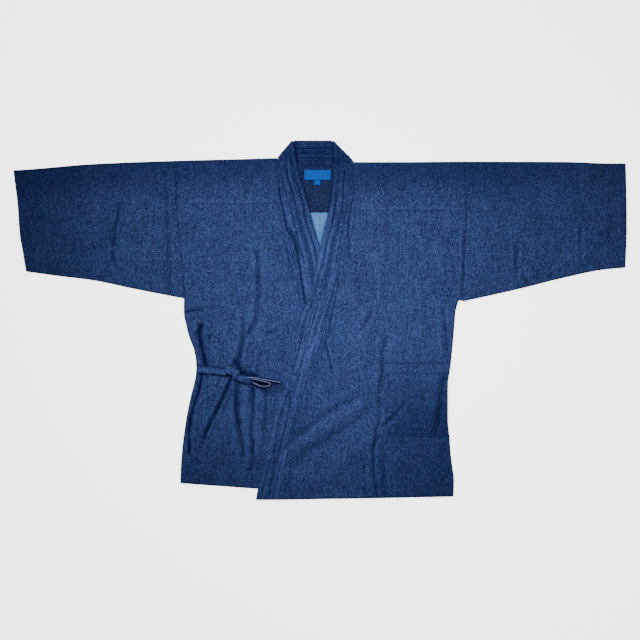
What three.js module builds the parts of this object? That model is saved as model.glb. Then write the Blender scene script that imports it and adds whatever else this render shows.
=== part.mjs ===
// A samue jacket laid flat on its back, its fronts crossed and tied at the right side.
// Millimetres. +X points to the wearer's left sleeve, +Y to the collar, +Z up through the layers.
// The origin lies under the middle of the jacket, on the surface that it rests on.
import * as THREE from 'three';

// ---------- driving dimensions ----------
const CLOTH = 1.2; // thickness of the denim
const GAP = 0.3; // clearance between pieces at a seam, and between layers
const UNDER_Z = CLOTH + GAP; // underside of a front that lies straight on the back
const BAND_THICKNESS = 2.4; // the collar is a doubled band
const BAND_Z = 2.8; // underside of the collar where it lies on the back
const SEAM_RISE_WIDTH = 45; // width over which a front rises to meet the collar
const CROSSING_Z = 5.7; // underside of the upper front where it passes over the under collar
const CROSSING_NEAR = 60; // half-width of that rise, from the middle of the under collar
const CROSSING_FAR = 130;
const ON_UNDER_FRONT_Z = 3.3; // underside of the upper front where it lies on the under front
const LINING_THICKNESS = 1;
const LABEL_THICKNESS = 1;
const TIE_THICKNESS = 2;
const POCKET_INNER_X = 148; // the pocket's inner edge runs straight down the upper front
const POCKET_TOP_Y = -99;
const POCKET_BOTTOM_Y = -268;

// ---------- outline ----------
// Each table has a row for each place where the edge changes direction. Edges run smoothly between rows.
const table = (names, rows) => {
  const keys = names.split(' ');
  return rows.map((row) => Object.fromEntries(keys.map((key, i) => [key, row[i]])));
};

const SHOULDER = table('x y', [ // the fold along the top of sleeves and shoulders
  [-705, 344], [-661, 347], [-523, 358.5], [-331, 366], [-178, 370], [-98, 372],
  [77, 363], [180, 363], [334, 364], [558, 363.5], [673, 360], [703, 360],
]);
const SLEEVE_SEAM_RIGHT = table('x y', [
  [-676, 113], [-604, 103], [-523, 93], [-431, 74], [-339, 56], [-312, 51],
]);
const SLEEVE_SEAM_LEFT = table('x y', [[327, 44], [374, 54], [466, 75], [558, 98], [650, 117], [702, 122]]);
const CUFF_RIGHT = table('y x', [
  [113, -676], [156, -683], [197, -690], [266, -695], [308, -700], [344, -705],
]);
const CUFF_LEFT = table('y x', [[122, 702], [142, 703], [218, 705], [359, 703]]);
const ARMHOLE_RIGHT = table('y x', [[51, -312], [85, -314], [183, -323], [275, -330], [365, -331]]);
const ARMHOLE_LEFT = table('y x', [[44, 327], [142, 332], [232, 337], [363, 334]]);
const SIDE_RIGHT = table('y x', [
  [-371, -320], [-341, -319], [-300, -316], [-231, -307], [-175, -296], [-140, -287], [-118, -283],
  [-82, -285], [-37, -300], [-10, -307], [18, -312], [51, -311.6],
]);
const SIDE_LEFT = table('y x', [
  [-405, 306], [-369, 307], [-341, 304], [-313, 300], [-272, 297], [-231, 293], [-148, 293],
  [-106, 299], [-79, 302], [-24, 307], [32, 312], [44, 317],
]);
const UPPER_FREE_EDGE = table('y x', [ // the collar's free edge down the upper front
  [-413, -148], [-382, -142], [-311, -124], [-208, -100], [-104, -72], [6, -43], [45, -29], [127, -8],
  [202, 8], [278, 26], [331, 31], [404, 33],
]);
const UPPER_SEAM = table('y x', [ // where that collar is sewn to the upper front
  [-412, -95], [-311, -74], [-208, -49], [-116, -24], [-37, 6], [4, 12], [52, 24], [94, 37],
  [156, 47], [202, 63], [264, 72], [298, 79], [362, 77],
]);
const UNDER_FREE_EDGE = table('y x', [ // the under front's collar, hidden below its crossing at y 165
  [-398, 142], [-311, 124], [-208, 100], [-104, 72], [6, 43], [45, 29], [127, 8], [165, 0],
  [223, -17], [298, -36], [333, -48], [383, -57], [404, -61],
]);
const UNDER_SEAM = table('y x', [
  [-398, 91], [-311, 74], [-208, 49], [-116, 24], [-37, -8], [4, -16], [45, -33], [85, -40],
  [142, -49], [183, -59], [209, -74], [251, -83], [290, -92], [370, -98],
]);
const NECK_SEAM = table('x y', [ // where the collar is sewn to the back, behind the neck
  [-98, 371], [-60, 366.5], [0, 364], [50, 362], [77, 363],
]);
const NECK_TOP = 412.5;
// Where the collar turns over at each shoulder.
const FOLD_RIGHT = { seam: [-98, 373], free: [-65, NECK_TOP] };
const FOLD_LEFT = { seam: [77.5, 365.2], free: [31, NECK_TOP] };

// ---------- relief of the fronts and sleeves ----------
const BASE_LOFT = 1.6; // the fronts never lie quite flat
const EDGE_FADE = 28; // it dies away towards a folded or seamed edge over this width
const FREE_EDGE_FADE = 30; // and over this width from the collar's free edge
const COVER_START = 4; // the under front lies flat where the upper front covers it
const COVER_FADE = 26;
const HEM_LOFT = 0.4; // share of the loft left at the hem
const PUFFS = table('x y across along turn height', [ // soft swellings, turned anticlockwise in degrees
  [-272, -50, 18, 70, 16, 3.4], [-300, -220, 12, 90, 12, 3.0], [-262, -215, 22, 90, -14, 3.6],
  [-225, -260, 18, 110, -20, 3.8], [-188, -255, 14, 110, 2, 3.2], [-165, -250, 12, 110, 2, 3.0],
  [-225, -60, 26, 60, -8, 3.0], [-170, -60, 22, 60, 6, 3.2], [-135, 60, 26, 130, 0, 2.6],
  [-190, 130, 40, 150, 0, 1.6], [10, -255, 24, 110, -55, 3.4], [60, -320, 22, 110, -55, 3.2],
  [-30, -200, 20, 80, -50, 2.4], [110, -120, 34, 110, 0, 2.0], [200, -40, 60, 60, 0, 1.4],
  [262, -200, 20, 110, 2, 3.0], [220, 180, 80, 90, 0, 1.6], [90, 60, 40, 120, 14, 1.8],
  [-500, 190, 60, 100, 0, 1.8], [-400, 200, 50, 110, 0, 1.8], [-590, 230, 50, 90, 0, 1.4],
  [400, 220, 40, 110, 0, 1.8], [490, 170, 36, 90, 0, 2.2], [590, 200, 60, 90, 0, 1.8],
]);
// Creases: how much of the loft each one takes away, its half-width, and the height of the rims beside it.
const crease = (name, cut, width, rim, ...points) => ({ name, cut, width, rim, points });
const CREASES = [
  crease('side_above_tie', 0.95, 9, 2.2, [-268, -3], [-278, -20], [-274, -40], [-269, -72], [-261, -102]),
  crease('side_below_tie', 0.95, 9, 2.2, [-270, -133], [-283, -178], [-297, -222], [-300, -325]),
  crease('tie_to_hem', 0.95, 10, 2.4, [-204, -133], [-232, -194], [-256, -249], [-280, -311]),
  crease('knot_to_hem', 0.85, 9, 1.8, [-191, -136], [-194, -166], [-192, -212], [-184, -256], [-178, -313]),
  crease('loop_to_hem', 0.8, 9, 1.6, [-155, -157], [-155, -201], [-160, -247], [-156, -290], [-153, -327]),
  crease('front_fold', 0.85, 10, 2.0, [-143, 165], [-141, 94], [-143, 18], [-162, -24], [-165, -44]),
  crease('above_knot', 0.85, 12, 2.0, [-175, 4], [-175, -44], [-187, -78], [-198, -100]),
  crease('chest', 0.5, 10, 0.8, [-167, 333], [-167, 289], [-176, 270], [-177, 218]),
  crease('pressed_front', 0.9, 11, 1.8, [158, -40], [146, -58], [145, -104], [142, -170], [136, -235]),
  crease('pressed_to_hem', 0.8, 11, 1.4, [132, -272], [122, -307], [125, -355], [132, -408]),
  crease('diagonal_high', 0.85, 17, 1.4, [78, -178], [24, -210], [-17, -242], [-55, -270], [-69, -290]),
  crease('diagonal_low', 0.8, 17, 1.4, [116, -226], [66, -272], [20, -293], [-24, -320], [-69, -362]),
  crease('side_left', 0.9, 10, 2.0, [284, -133], [277, -185], [272, -221], [268, -256]),
  crease('side_left_high', 0.6, 10, 1.2, [284, 25], [289, -12], [292, -48]),
  crease('sleeve_left', 0.85, 10, 1.6, [452, 174], [452, 89]),
  crease('sleeve_left_outer', 0.75, 10, 1.4, [600, 222], [600, 121]),
  crease('sleeve_right', 0.85, 11, 1.6, [-463, 262], [-474, 170]),
  crease('sleeve_right_low', 0.75, 10, 1.2, [-478, 160], [-457, 98]),
  crease('sleeve_right_outer', 0.6, 10, 1.0, [-597, 333], [-597, 190]),
];
const TIE_ROUTE = [[-283, -113], [-243, -117], [-193, -126], [-112, -145]]; // the ties press the cloth down
const TIE_PRESS = 16; // half-width of the pressed stretch

// ---------- plain mathematics ----------
const mix = (a, b, t) => a + (b - a) * t;
const clamp01 = (t) => Math.min(1, Math.max(0, t));
const smooth = (low, high, value) => {
  const t = clamp01((value - low) / (high - low));
  return t * t * (3 - 2 * t);
};
const bell = (t) => Math.exp(-t * t);
const steps = (count) => Array.from({ length: count + 1 }, (_, i) => i / count);

// Value of a table's second column at a place along its first, by a smooth curve through the rows.
function along(rows, at) {
  const [key, value] = Object.keys(rows[0]);
  const last = rows.length - 1;
  if (at <= rows[0][key]) return rows[0][value];
  if (at >= rows[last][key]) return rows[last][value];
  let i = 0;
  while (rows[i + 1][key] < at) i += 1;
  const slope = (a, b) => (rows[b][value] - rows[a][value]) / (rows[b][key] - rows[a][key]);
  const tangent = (n) => {
    if (n === 0 || n === last) return n === 0 ? slope(0, 1) : slope(last - 1, last);
    const [before, after] = [slope(n - 1, n), slope(n, n + 1)];
    return before * after <= 0 ? 0 : (2 * before * after) / (before + after);
  };
  const span = rows[i + 1][key] - rows[i][key];
  const t = (at - rows[i][key]) / span;
  return rows[i][value] * (1 + 2 * t) * (1 - t) ** 2 + rows[i + 1][value] * t * t * (3 - 2 * t)
    + tangent(i) * span * t * (1 - t) ** 2 + tangent(i + 1) * span * t * t * (t - 1);
}

// Distance from a place to a line of points, and how far along the line its nearest point is, from 0 to 1.
function toLine(points, x, y) {
  let best = { distance: Infinity, share: 0 };
  points.slice(1).forEach(([bx, by], i) => {
    const [ax, ay] = points[i];
    const t = clamp01(((x - ax) * (bx - ax) + (y - ay) * (by - ay)) / ((bx - ax) ** 2 + (by - ay) ** 2));
    const distance = Math.hypot(x - mix(ax, bx, t), y - mix(ay, by, t));
    if (distance < best.distance) best = { distance, share: (i + t) / (points.length - 1) };
  });
  return best;
}

// ---------- heights ----------
const RIGHT = { armhole: ARMHOLE_RIGHT, side: SIDE_RIGHT, sleeveSeam: SLEEVE_SEAM_RIGHT, cuff: CUFF_RIGHT };
const LEFT = { armhole: ARMHOLE_LEFT, side: SIDE_LEFT, sleeveSeam: SLEEVE_SEAM_LEFT, cuff: CUFF_LEFT };
const underarm = (half) => half.armhole[0].y;
const outerEdge = (half, y) => (y > underarm(half) ? along(half.armhole, y) : along(half.side, y));
const hemFade = (y) => mix(HEM_LOFT, 1, smooth(-440, -350, y));
const shoulderX = (half) => half.armhole[half.armhole.length - 1].x;

// 0 at the shoulder fold, the sleeve seam and the side seam, 1 away from them.
function edgeFade(x, y) {
  const half = x < 0 ? RIGHT : LEFT;
  const top = along(SHOULDER, x) - y;
  const beyondArmhole = Math.abs(x) - Math.abs(along(half.armhole, Math.max(y, underarm(half))));
  const seam = y - along(half.sleeveSeam, x);
  const side = Math.abs(along(half.side, y)) - Math.abs(x);
  const low = beyondArmhole > 0 ? seam : Math.max(side, y - underarm(half));
  return smooth(0, EDGE_FADE, top) * smooth(0, EDGE_FADE, low) * hemFade(y);
}

// How far the upper cloth stands above its flat height, before it fades at the edges.
function relief(x, y) {
  let loft = BASE_LOFT;
  PUFFS.forEach((puff) => {
    const angle = THREE.MathUtils.degToRad(puff.turn);
    const across = (x - puff.x) * Math.cos(angle) + (y - puff.y) * Math.sin(angle);
    const lengthways = (y - puff.y) * Math.cos(angle) - (x - puff.x) * Math.sin(angle);
    loft += puff.height * bell(Math.hypot(across / puff.across, lengthways / puff.along));
  });
  let left = 1;
  CREASES.forEach(({ cut, width, rim, points }) => {
    const { distance, share } = toLine(points, x, y);
    if (distance > 5 * width) return;
    const strength = smooth(0, 0.15, share + 0.03) * smooth(0, 0.15, 1.03 - share);
    loft += rim * strength * bell((distance - 1.8 * width) / width);
    left *= 1 - cut * strength * bell(distance / width);
  });
  const pressed = bell(toLine(TIE_ROUTE, x, y).distance / TIE_PRESS);
  return loft * left * (1 - 0.8 * pressed);
}

// Underside of the under front.
function underFront(x, y) {
  const rise = (BAND_Z - UNDER_Z) * (1 - smooth(0, SEAM_RISE_WIDTH, along(UNDER_SEAM, y) - x));
  const covered = smooth(COVER_START, COVER_FADE, along(UPPER_FREE_EDGE, y) - x);
  return UNDER_Z + rise + relief(x, y) * edgeFade(x, y) * covered;
}

// Underside of the upper front and of the collar on it.
function upperFront(x, y) {
  const fromUnderCollar = x - (along(UNDER_SEAM, y) + along(UNDER_FREE_EDGE, y)) / 2;
  const rise = (BAND_Z - UNDER_Z) * (1 - smooth(0, SEAM_RISE_WIDTH, x - along(UPPER_SEAM, y)));
  const crossing = CROSSING_Z * (1 - smooth(CROSSING_NEAR, CROSSING_FAR, Math.abs(fromUnderCollar)));
  const onUnderFront = fromUnderCollar < 0 ? ON_UNDER_FRONT_Z : 0;
  const freeEdge = smooth(0, FREE_EDGE_FADE, x - along(UPPER_FREE_EDGE, y));
  const loft = relief(x, y) * edgeFade(x, y) * freeEdge;
  return Math.max(UNDER_Z + rise, onUnderFront, crossing) + loft;
}
const sleeveFront = (x, y) => UNDER_Z + relief(x, y) * edgeFade(x, y);

// ---------- solids ----------
// A closed solid from a grid of pairs of points, one on each face of the cloth. A ring closes on itself
// along its rows, so that it has no edge there.
function wall(grid, ring = false) {
  const rowCount = grid.length;
  const columnCount = grid[0].length;
  const positions = [];
  grid.forEach((row) => row.forEach(({ out, inner }) => positions.push(...out, ...inner)));
  const outer = (r, c) => 2 * ((r % rowCount) * columnCount + c);
  const inside = (r, c) => outer(r, c) + 1;
  const index = [];
  const quad = (a, b, c, d) => index.push(a, b, c, a, c, d);
  const rowEnd = ring ? rowCount : rowCount - 1;
  for (let r = 0; r < rowEnd; r += 1) {
    for (let c = 0; c < columnCount - 1; c += 1) {
      quad(outer(r, c), outer(r, c + 1), outer(r + 1, c + 1), outer(r + 1, c));
      quad(inside(r, c), inside(r + 1, c), inside(r + 1, c + 1), inside(r, c + 1));
    }
    quad(outer(r, 0), outer(r + 1, 0), inside(r + 1, 0), inside(r, 0));
    const c = columnCount - 1;
    quad(outer(r, c), inside(r, c), inside(r + 1, c), outer(r + 1, c));
  }
  if (!ring) {
    for (let c = 0; c < columnCount - 1; c += 1) {
      quad(outer(0, c), inside(0, c), inside(0, c + 1), outer(0, c + 1));
      const r = rowCount - 1;
      quad(outer(r, c), outer(r, c + 1), inside(r, c + 1), inside(r, c));
    }
  }
  return facingOut(positions, index);
}

// A geometry with its faces turned outwards, whichever way round its grid ran.
function facingOut(positions, index) {
  const at = (i) => new THREE.Vector3(...positions.slice(3 * i, 3 * i + 3));
  let volume = 0;
  for (let i = 0; i < index.length; i += 3) {
    volume += at(index[i]).dot(at(index[i + 1]).cross(at(index[i + 2])));
  }
  const turned = volume < 0 ? index.slice().reverse() : index;
  const geometry = new THREE.BufferGeometry();
  geometry.setAttribute('position', new THREE.Float32BufferAttribute(positions, 3));
  geometry.setIndex(turned);
  geometry.computeVertexNormals();
  return geometry;
}

// Points of one fold of cloth: the outer and inner wall of a half-turn about a line along X.
function foldPoint(x, y, top, angle) {
  const middle = top / 2;
  const point = (radius) => [x, y - middle + radius * Math.cos(angle), middle + radius * Math.sin(angle)];
  return { out: point(middle), inner: point(middle - CLOTH) };
}
const TURN = [-60, -20, 20, 60].map(THREE.MathUtils.degToRad);

// ---------- body ----------
// One length of cloth: up the back, over the shoulder and down the front. Its columns run from the side
// seam or armhole to the middle, the neck or the collar seam. Each row gives its height at both ends.
// Between the underarm and the shoulder a row lies at a share of the armhole's height, and sleeve and body
// have the same shares, so that their seam edges match.
const BACK_SHARES = [0.08, 0.3, 0.5, 0.7, 0.9];
const FRONT_SHARES = [0.97, 0.92, 0.83, 0.72, 0.6, 0.48, 0.36, 0.24, 0.13, 0.04];
const BACK_LOW_ROWS_RIGHT = table('outer x y', [
  [-370, 0, -385], [-280, 0, -280], [-190, 0, -190], [-118, 0, -118], [-50, 0, -50], [6, 0, 6], [51, 0, 51],
]);
const BACK_LOW_ROWS_LEFT = table('outer x y', [
  [-400, 0, -385], [-300, 0, -290], [-225, 0, -215], [-130, 0, -120], [-70, 0, -60], [44, 0, 51],
]);
const NECK_ROWS_RIGHT = table('outer x y', [[349, 0, 363.2], [353, -40, 364.6], [356, -74, 365.9]]);
const NECK_ROWS_LEFT = table('outer x y', [[338, 0, 363.2], [345, 35, 361.2], [350, 62, 360.3]]);
const UNDER_FRONT_ROWS = table('outer middle', [
  [51, 44], [30, 14], [10, -12], [-12, -36], [-34, -58], [-56, -80], [-78, -100], [-100, -120],
  [-122, -140], [-146, -164], [-172, -190], [-200, -220], [-230, -252], [-262, -286], [-296, -322],
  [-332, -360], [-374, -404],
]);
const UPPER_FRONT_ROWS = table('outer middle', [
  [44, 30], [20, 0], [-8, -28], [-36, -52], [-66, -76], [POCKET_TOP_Y, -100], [-125, -125],
  [-152, -152], [-178, -178], [-204, -204], [-232, -232], [POCKET_BOTTOM_Y, -268], [-300, -300],
  [-332, -332], [-366, -366], [-405, -412],
]);
const BACK_ROW_LIFT = 10; // a row of the back rises by up to this towards the neck
const NECK_ROW_SPACE = 8; // and stays this far below the rows that shape the neck
// Columns are even on each side of a guide line that runs straight down the front.
const RIGHT_BODY = {
  half: RIGHT, side: -1, guideX: -130, guideColumn: 16, columnCount: 23, lowRows: UNDER_FRONT_ROWS,
  backRows: BACK_LOW_ROWS_RIGHT, neckRows: NECK_ROWS_RIGHT, seam: UNDER_SEAM, underside: underFront,
};
const LEFT_BODY = {
  half: LEFT, side: 1, guideX: POCKET_INNER_X, guideColumn: 10, columnCount: 23, lowRows: UPPER_FRONT_ROWS,
  backRows: BACK_LOW_ROWS_LEFT, neckRows: NECK_ROWS_LEFT, seam: UPPER_SEAM, underside: upperFront,
};

// Rows of a front from the shoulder down: the height of each at the side and at the collar seam.
function frontRows({ half, seam, lowRows }) {
  const shoulderY = along(SHOULDER, shoulderX(half));
  const neckY = seam[seam.length - 1].y;
  return [...FRONT_SHARES.map((share) => ({
    outer: mix(underarm(half), shoulderY, share), middle: mix(lowRows[0].middle, neckY, share),
  })), ...lowRows];
}

function bodyGrid(body) {
  const { half, side, guideX, guideColumn, columnCount, seam, underside, backRows, neckRows } = body;
  const shoulderY = along(SHOULDER, shoulderX(half));
  const columns = Array.from({ length: columnCount }, (_, i) => i);
  const columnX = (startX, endX, i) => (i <= guideColumn ? mix(startX, guideX, i / guideColumn)
    : mix(guideX, endX, (i - guideColumn) / (columnCount - 1 - guideColumn)));
  const rowTo = (outerY, endX, endY, make) => columns.map((i) => {
    const startX = outerEdge(half, outerY) - (outerY > underarm(half) ? side * GAP / 2 : 0);
    const x = columnX(startX, endX, i);
    return make(x, mix(outerY, endY, (x - startX) / (endX - startX)));
  });
  const armRows = BACK_SHARES.map((share) => {
    const y = mix(underarm(half), shoulderY, share);
    return { outer: y, x: 0, y: Math.min(y + BACK_ROW_LIFT * share, neckRows[0].y - NECK_ROW_SPACE) };
  });
  const back = [...backRows, ...armRows.filter(({ outer }) => outer < neckRows[0].outer), ...neckRows]
    .map(({ outer, x, y }) => rowTo(outer, x || side * GAP / 2, y,
      (px, py) => ({ out: [px, py, 0], inner: [px, py, CLOTH] })));
  const neckX = seam[seam.length - 1].x + side * GAP;
  const fold = TURN.map((angle) => columns.map((i) => {
    const x = columnX(shoulderX(half) - side * GAP / 2, neckX, i);
    const y = along(SHOULDER, x);
    return foldPoint(x, y, underside(x, y) + CLOTH, angle);
  }));
  const clothAt = (x, y) => {
    const z = underside(x, y);
    return { out: [x, y, z + CLOTH], inner: [x, y, z] };
  };
  const front = frontRows(body).map(({ outer, middle }) => (
    rowTo(outer, along(seam, middle) + side * GAP, middle, clothAt)));
  return { front, all: [...back, ...fold, ...front] };
}

// ---------- sleeves ----------
const SLEEVE_COLUMNS = 19;
const SLEEVE_MIDDLE_Y = 200;

function sleeveGrid(half, side) {
  const top = (x) => along(SHOULDER, x);
  const bottom = (x) => along(half.sleeveSeam, x);
  // Columns lean from the armhole's line to the cuff's, so X depends on the height too.
  const columnX = (u, y) => mix(along(half.armhole, y) + side * GAP / 2, along(half.cuff, y), u);
  const column = (u) => {
    const place = (share) => {
      const guess = columnX(u, SLEEVE_MIDDLE_Y);
      const y = mix(bottom(guess), top(guess), share);
      const x = columnX(u, y);
      return [x, mix(bottom(x), top(x), share)];
    };
    const flat = BACK_SHARES.map((share) => {
      const [x, y] = place(share);
      return { out: [x, y, 0], inner: [x, y, CLOTH] };
    });
    const front = FRONT_SHARES.map((share) => {
      const [x, y] = place(share);
      const z = sleeveFront(x, y);
      return { out: [x, y, z + CLOTH], inner: [x, y, z] };
    });
    const height = UNDER_Z + CLOTH;
    const turn = (share, toward) => TURN.map((angle) => {
      const [x, y] = place(share);
      const point = foldPoint(x, 0, height, angle);
      const move = ([px, py, pz]) => [px, y + toward * py, pz];
      return { out: move(point.out), inner: move(point.inner) };
    });
    return [...flat, ...turn(1, 1), ...front, ...turn(0, -1).reverse()];
  };
  const columns = steps(SLEEVE_COLUMNS).map(column);
  return columns[0].map((_, r) => columns.map((points) => points[r]));
}

// ---------- bands ----------
// A solid strip through sections. Each has its two edges, and the direction and size of its thickness.
const EDGE_EASE = 0.12; // share of the thickness by which a strip's long edges are eased

function strip(sections, across = 3) {
  const rows = sections.map(({ from, to, up, thickness }) => {
    const a = new THREE.Vector3(...from);
    const b = new THREE.Vector3(...to);
    const rise = new THREE.Vector3(...up).normalize().multiplyScalar(thickness);
    const face = (lift, reverse) => steps(across).map((t) => {
      const eased = (t === 0 || t === 1) ? mix(lift, 1 - lift, EDGE_EASE) : lift;
      return a.clone().lerp(b, reverse ? 1 - t : t).addScaledVector(rise, eased);
    });
    return [...face(0, false), ...face(1, true)].map((p) => p.toArray());
  });
  const size = rows[0].length;
  const positions = rows.flat(2);
  const index = [];
  for (let r = 0; r < rows.length - 1; r += 1) {
    for (let c = 0; c < size; c += 1) {
      const [a, b] = [r * size + c, r * size + ((c + 1) % size)];
      index.push(a, b, b + size, a, b + size, a + size);
    }
  }
  for (let c = 0; c < across; c += 1) {
    [0, (rows.length - 1) * size].forEach((start, end) => {
      const [a, b, d, e] = [start + c, start + c + 1, start + size - 2 - c, start + size - 1 - c];
      if (end === 0) index.push(a, d, b, a, e, d);
      else index.push(a, b, d, a, d, e);
    });
  }
  return facingOut(positions, index);
}

// ---------- collar ----------
const BAND_SLANT = table('seam rise', [[45, 0], [120, 8], [200, 18], [240, 28], [330, 30], [370, 40]]);
const BEHIND_NECK = table('seam free', [ // X of the stretch behind the neck, along each of its edges
  [-72, -40], [-40, -22], [-10, -8], [22, 8], [50, 20],
]);

// Half a turn of the band about its shoulder fold, from its front stretch to the stretch behind the neck.
function shoulderTurn({ seam, free }, outward, frontZ) {
  const middle = (frontZ + BAND_THICKNESS) / 2;
  const [dx, dy] = [free[0] - seam[0], free[1] - seam[1]];
  const length = Math.hypot(dx, dy);
  const normal = [(-dy / length) * outward, (dx / length) * outward];
  return [80, 40, 0, -40, -80].map((degrees) => {
    const angle = THREE.MathUtils.degToRad(degrees);
    const edge = ([x, y]) => {
      const reach = middle * Math.cos(angle) - middle;
      return [x + normal[0] * reach, y + normal[1] * reach, middle + middle * Math.sin(angle)];
    };
    const up = [-normal[0] * Math.cos(angle), -normal[1] * Math.cos(angle), -Math.sin(angle)];
    return { from: edge(seam), to: edge(free), up, thickness: BAND_THICKNESS };
  });
}

function collarSections() {
  const stretch = (body, freeTable, underside) => frontRows(body).map(({ middle }) => {
    const freeY = middle + along(BAND_SLANT, middle);
    const top = (x, y) => [x, y, underside(x, y) + BAND_THICKNESS];
    return {
      from: top(along(body.seam, middle), middle), to: top(along(freeTable, freeY), freeY),
      up: [0, 0, -1], thickness: BAND_THICKNESS,
    };
  });
  const behind = BEHIND_NECK.map(({ free, seam }) => ({
    from: [seam, along(NECK_SEAM, seam), 0], to: [free, NECK_TOP, 0],
    up: [0, 0, 1], thickness: BAND_THICKNESS,
  }));
  return [
    ...stretch(RIGHT_BODY, UNDER_FREE_EDGE, () => BAND_Z).reverse(),
    ...shoulderTurn(FOLD_RIGHT, 1, BAND_Z),
    ...behind,
    ...shoulderTurn(FOLD_LEFT, -1, BAND_Z).reverse(),
    ...stretch(LEFT_BODY, UPPER_FREE_EDGE, upperFront),
  ];
}

// ---------- pieces in the neck ----------
const LINING_ROWS = table('y left right', [[248, -78, 66], [300, -80, 68], [345, -82, 66], [364, -80, 62]]);
const LINING_TO_COLLAR = 1.2; // its top edge follows the collar's seam behind the neck, this far below it
const LABEL = { x: -5.5, y: 334.5, width: 61, height: 23 };
const TAB = { x: -6, y: 316.5, width: 14.5, height: 11 };

function flatPiece(rows, z, thickness, across, topEdge = () => Infinity) {
  return wall(rows.map(({ y, left, right }) => steps(across).map((u) => {
    const x = mix(left, right, u);
    const height = Math.min(y, topEdge(x));
    return { out: [x, height, z + thickness], inner: [x, height, z] };
  })));
}
const tag = ({ x, y, width, height }, z) => flatPiece(table('y left right', [
  [y - height / 2, x - width / 2, x + width / 2], [y + height / 2, x - width / 2, x + width / 2],
]), z, LABEL_THICKNESS, 2);

// ---------- pocket ----------
// It takes its points from the upper front that it lies on, moved out.
function pocketGrid(front) {
  const rowAt = (y) => frontRows(LEFT_BODY).findIndex(({ outer }) => outer === y);
  const [first, last] = [rowAt(POCKET_TOP_Y), rowAt(POCKET_BOTTOM_Y)];
  const onFront = ({ out: [x, y, z] }) => ({ out: [x, y, z + GAP + CLOTH], inner: [x, y, z + GAP] });
  return front.slice(first, last + 1).map((row) => row.slice(0, LEFT_BODY.guideColumn + 1).map(onFront));
}

// ---------- ties ----------
// Each section of a tie has its middle, its lean from flat (0) to standing on its edge (90), and its width.
const TIE_COLUMNS = 'x y z lean width';
const TIE_SIDE = table(TIE_COLUMNS, [
  [-281, -114, 5.6, 0, 15], [-268, -114, 6.2, 0, 15], [-254, -115.5, 6.8, 0, 15],
  [-240, -117, 7.4, 0, 15], [-226, -119, 8, 0, 14], [-214, -121, 8.8, 0, 13],
]);
const TIE_FRONT = table(TIE_COLUMNS, [
  [-171, -128, 13, 60, 12], [-160, -129.5, 13, 75, 13], [-146, -132, 12.4, 86, 14],
  [-130, -135, 11.4, 88, 14], [-112, -139, 11.2, 88, 14], [-96, -142, 11.6, 88, 14],
  [-89.5, -143.4, 12, 86, 14],
]);
const TIE_LOOP = table(TIE_COLUMNS, [
  [-171, -139, 8.2, 10, 11], [-162, -139, 9.4, 40, 12], [-152, -138, 11.4, 76, 13],
  [-136, -141, 11.8, 88, 14], [-122, -144, 11.6, 90, 14], [-115, -148, 11.5, 90, 14],
  [-119, -153.5, 11.5, 90, 14], [-130, -155, 11.5, 92, 14], [-144, -151, 11.4, 98, 13.5],
  [-156, -146.5, 10.8, 118, 13],
]);

function tie(rows) {
  return strip(rows.map((row, i) => {
    const before = rows[Math.max(0, i - 1)];
    const after = rows[Math.min(rows.length - 1, i + 1)];
    const run = new THREE.Vector3(after.x - before.x, after.y - before.y, after.z - before.z).normalize();
    const level = new THREE.Vector3(-run.y, run.x, 0).normalize();
    const across = level.clone().applyAxisAngle(run, THREE.MathUtils.degToRad(row.lean));
    const up = run.clone().cross(across);
    const middle = new THREE.Vector3(row.x, row.y, row.z).addScaledVector(up, -TIE_THICKNESS / 2);
    const edge = (share) => middle.clone().addScaledVector(across, share * row.width).toArray();
    return { from: edge(-0.5), to: edge(0.5), up: up.toArray(), thickness: TIE_THICKNESS };
  }), 2);
}

// The knot: rounded sections along its length, which leans across the ties.
const KNOT = { x: -192, y: -127, z: 11.7, length: 36, lean: -42 };
const KNOT_SECTIONS = table('share width height', [
  [0, 8, 5], [0.08, 17, 9], [0.25, 22, 12.5], [0.42, 22, 13], [0.5, 19, 11.5], [0.6, 22, 13],
  [0.8, 22, 12.5], [0.93, 16, 9], [1, 8, 5],
]);
const KNOT_SIDES = 12;
const KNOT_FULLNESS = 0.75; // exponent that squares its round sections slightly

function knot() {
  const lean = THREE.MathUtils.degToRad(KNOT.lean);
  const full = (value) => Math.sign(value) * Math.abs(value) ** KNOT_FULLNESS;
  const rows = KNOT_SECTIONS.map(({ share, width, height }) => steps(KNOT_SIDES).slice(1).map((t) => {
    const angle = 2 * Math.PI * t;
    const across = full(Math.cos(angle)) * width / 2;
    const up = full(Math.sin(angle)) * height / 2;
    const run = (share - 0.5) * KNOT.length;
    return [
      KNOT.x + run * Math.cos(lean) - across * Math.sin(lean),
      KNOT.y + run * Math.sin(lean) + across * Math.cos(lean),
      KNOT.z + up,
    ];
  }));
  const positions = rows.flat(2);
  const index = [];
  for (let r = 0; r < rows.length - 1; r += 1) {
    for (let c = 0; c < KNOT_SIDES; c += 1) {
      const [a, b] = [r * KNOT_SIDES + c, r * KNOT_SIDES + ((c + 1) % KNOT_SIDES)];
      index.push(a, b, b + KNOT_SIDES, a, b + KNOT_SIDES, a + KNOT_SIDES);
    }
  }
  const end = (rows.length - 1) * KNOT_SIDES;
  for (let c = 1; c < KNOT_SIDES - 1; c += 1) {
    index.push(0, c + 1, c);
    index.push(end, end + c, end + c + 1);
  }
  return facingOut(positions, index);
}

// ---------- assembly ----------
const denim = (color) => new THREE.MeshStandardMaterial({ color, roughness: 0.9, metalness: 0 });
const DENIM = denim(0x2b4774);
const LINING = denim(0x1d3157);
const LABEL_BLUE = denim(0x1668b4);

const left = bodyGrid(LEFT_BODY);
const samue = new THREE.Group();
const add = (name, geometry, material) => {
  const mesh = new THREE.Mesh(geometry, material);
  mesh.name = name;
  samue.add(mesh);
};

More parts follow.
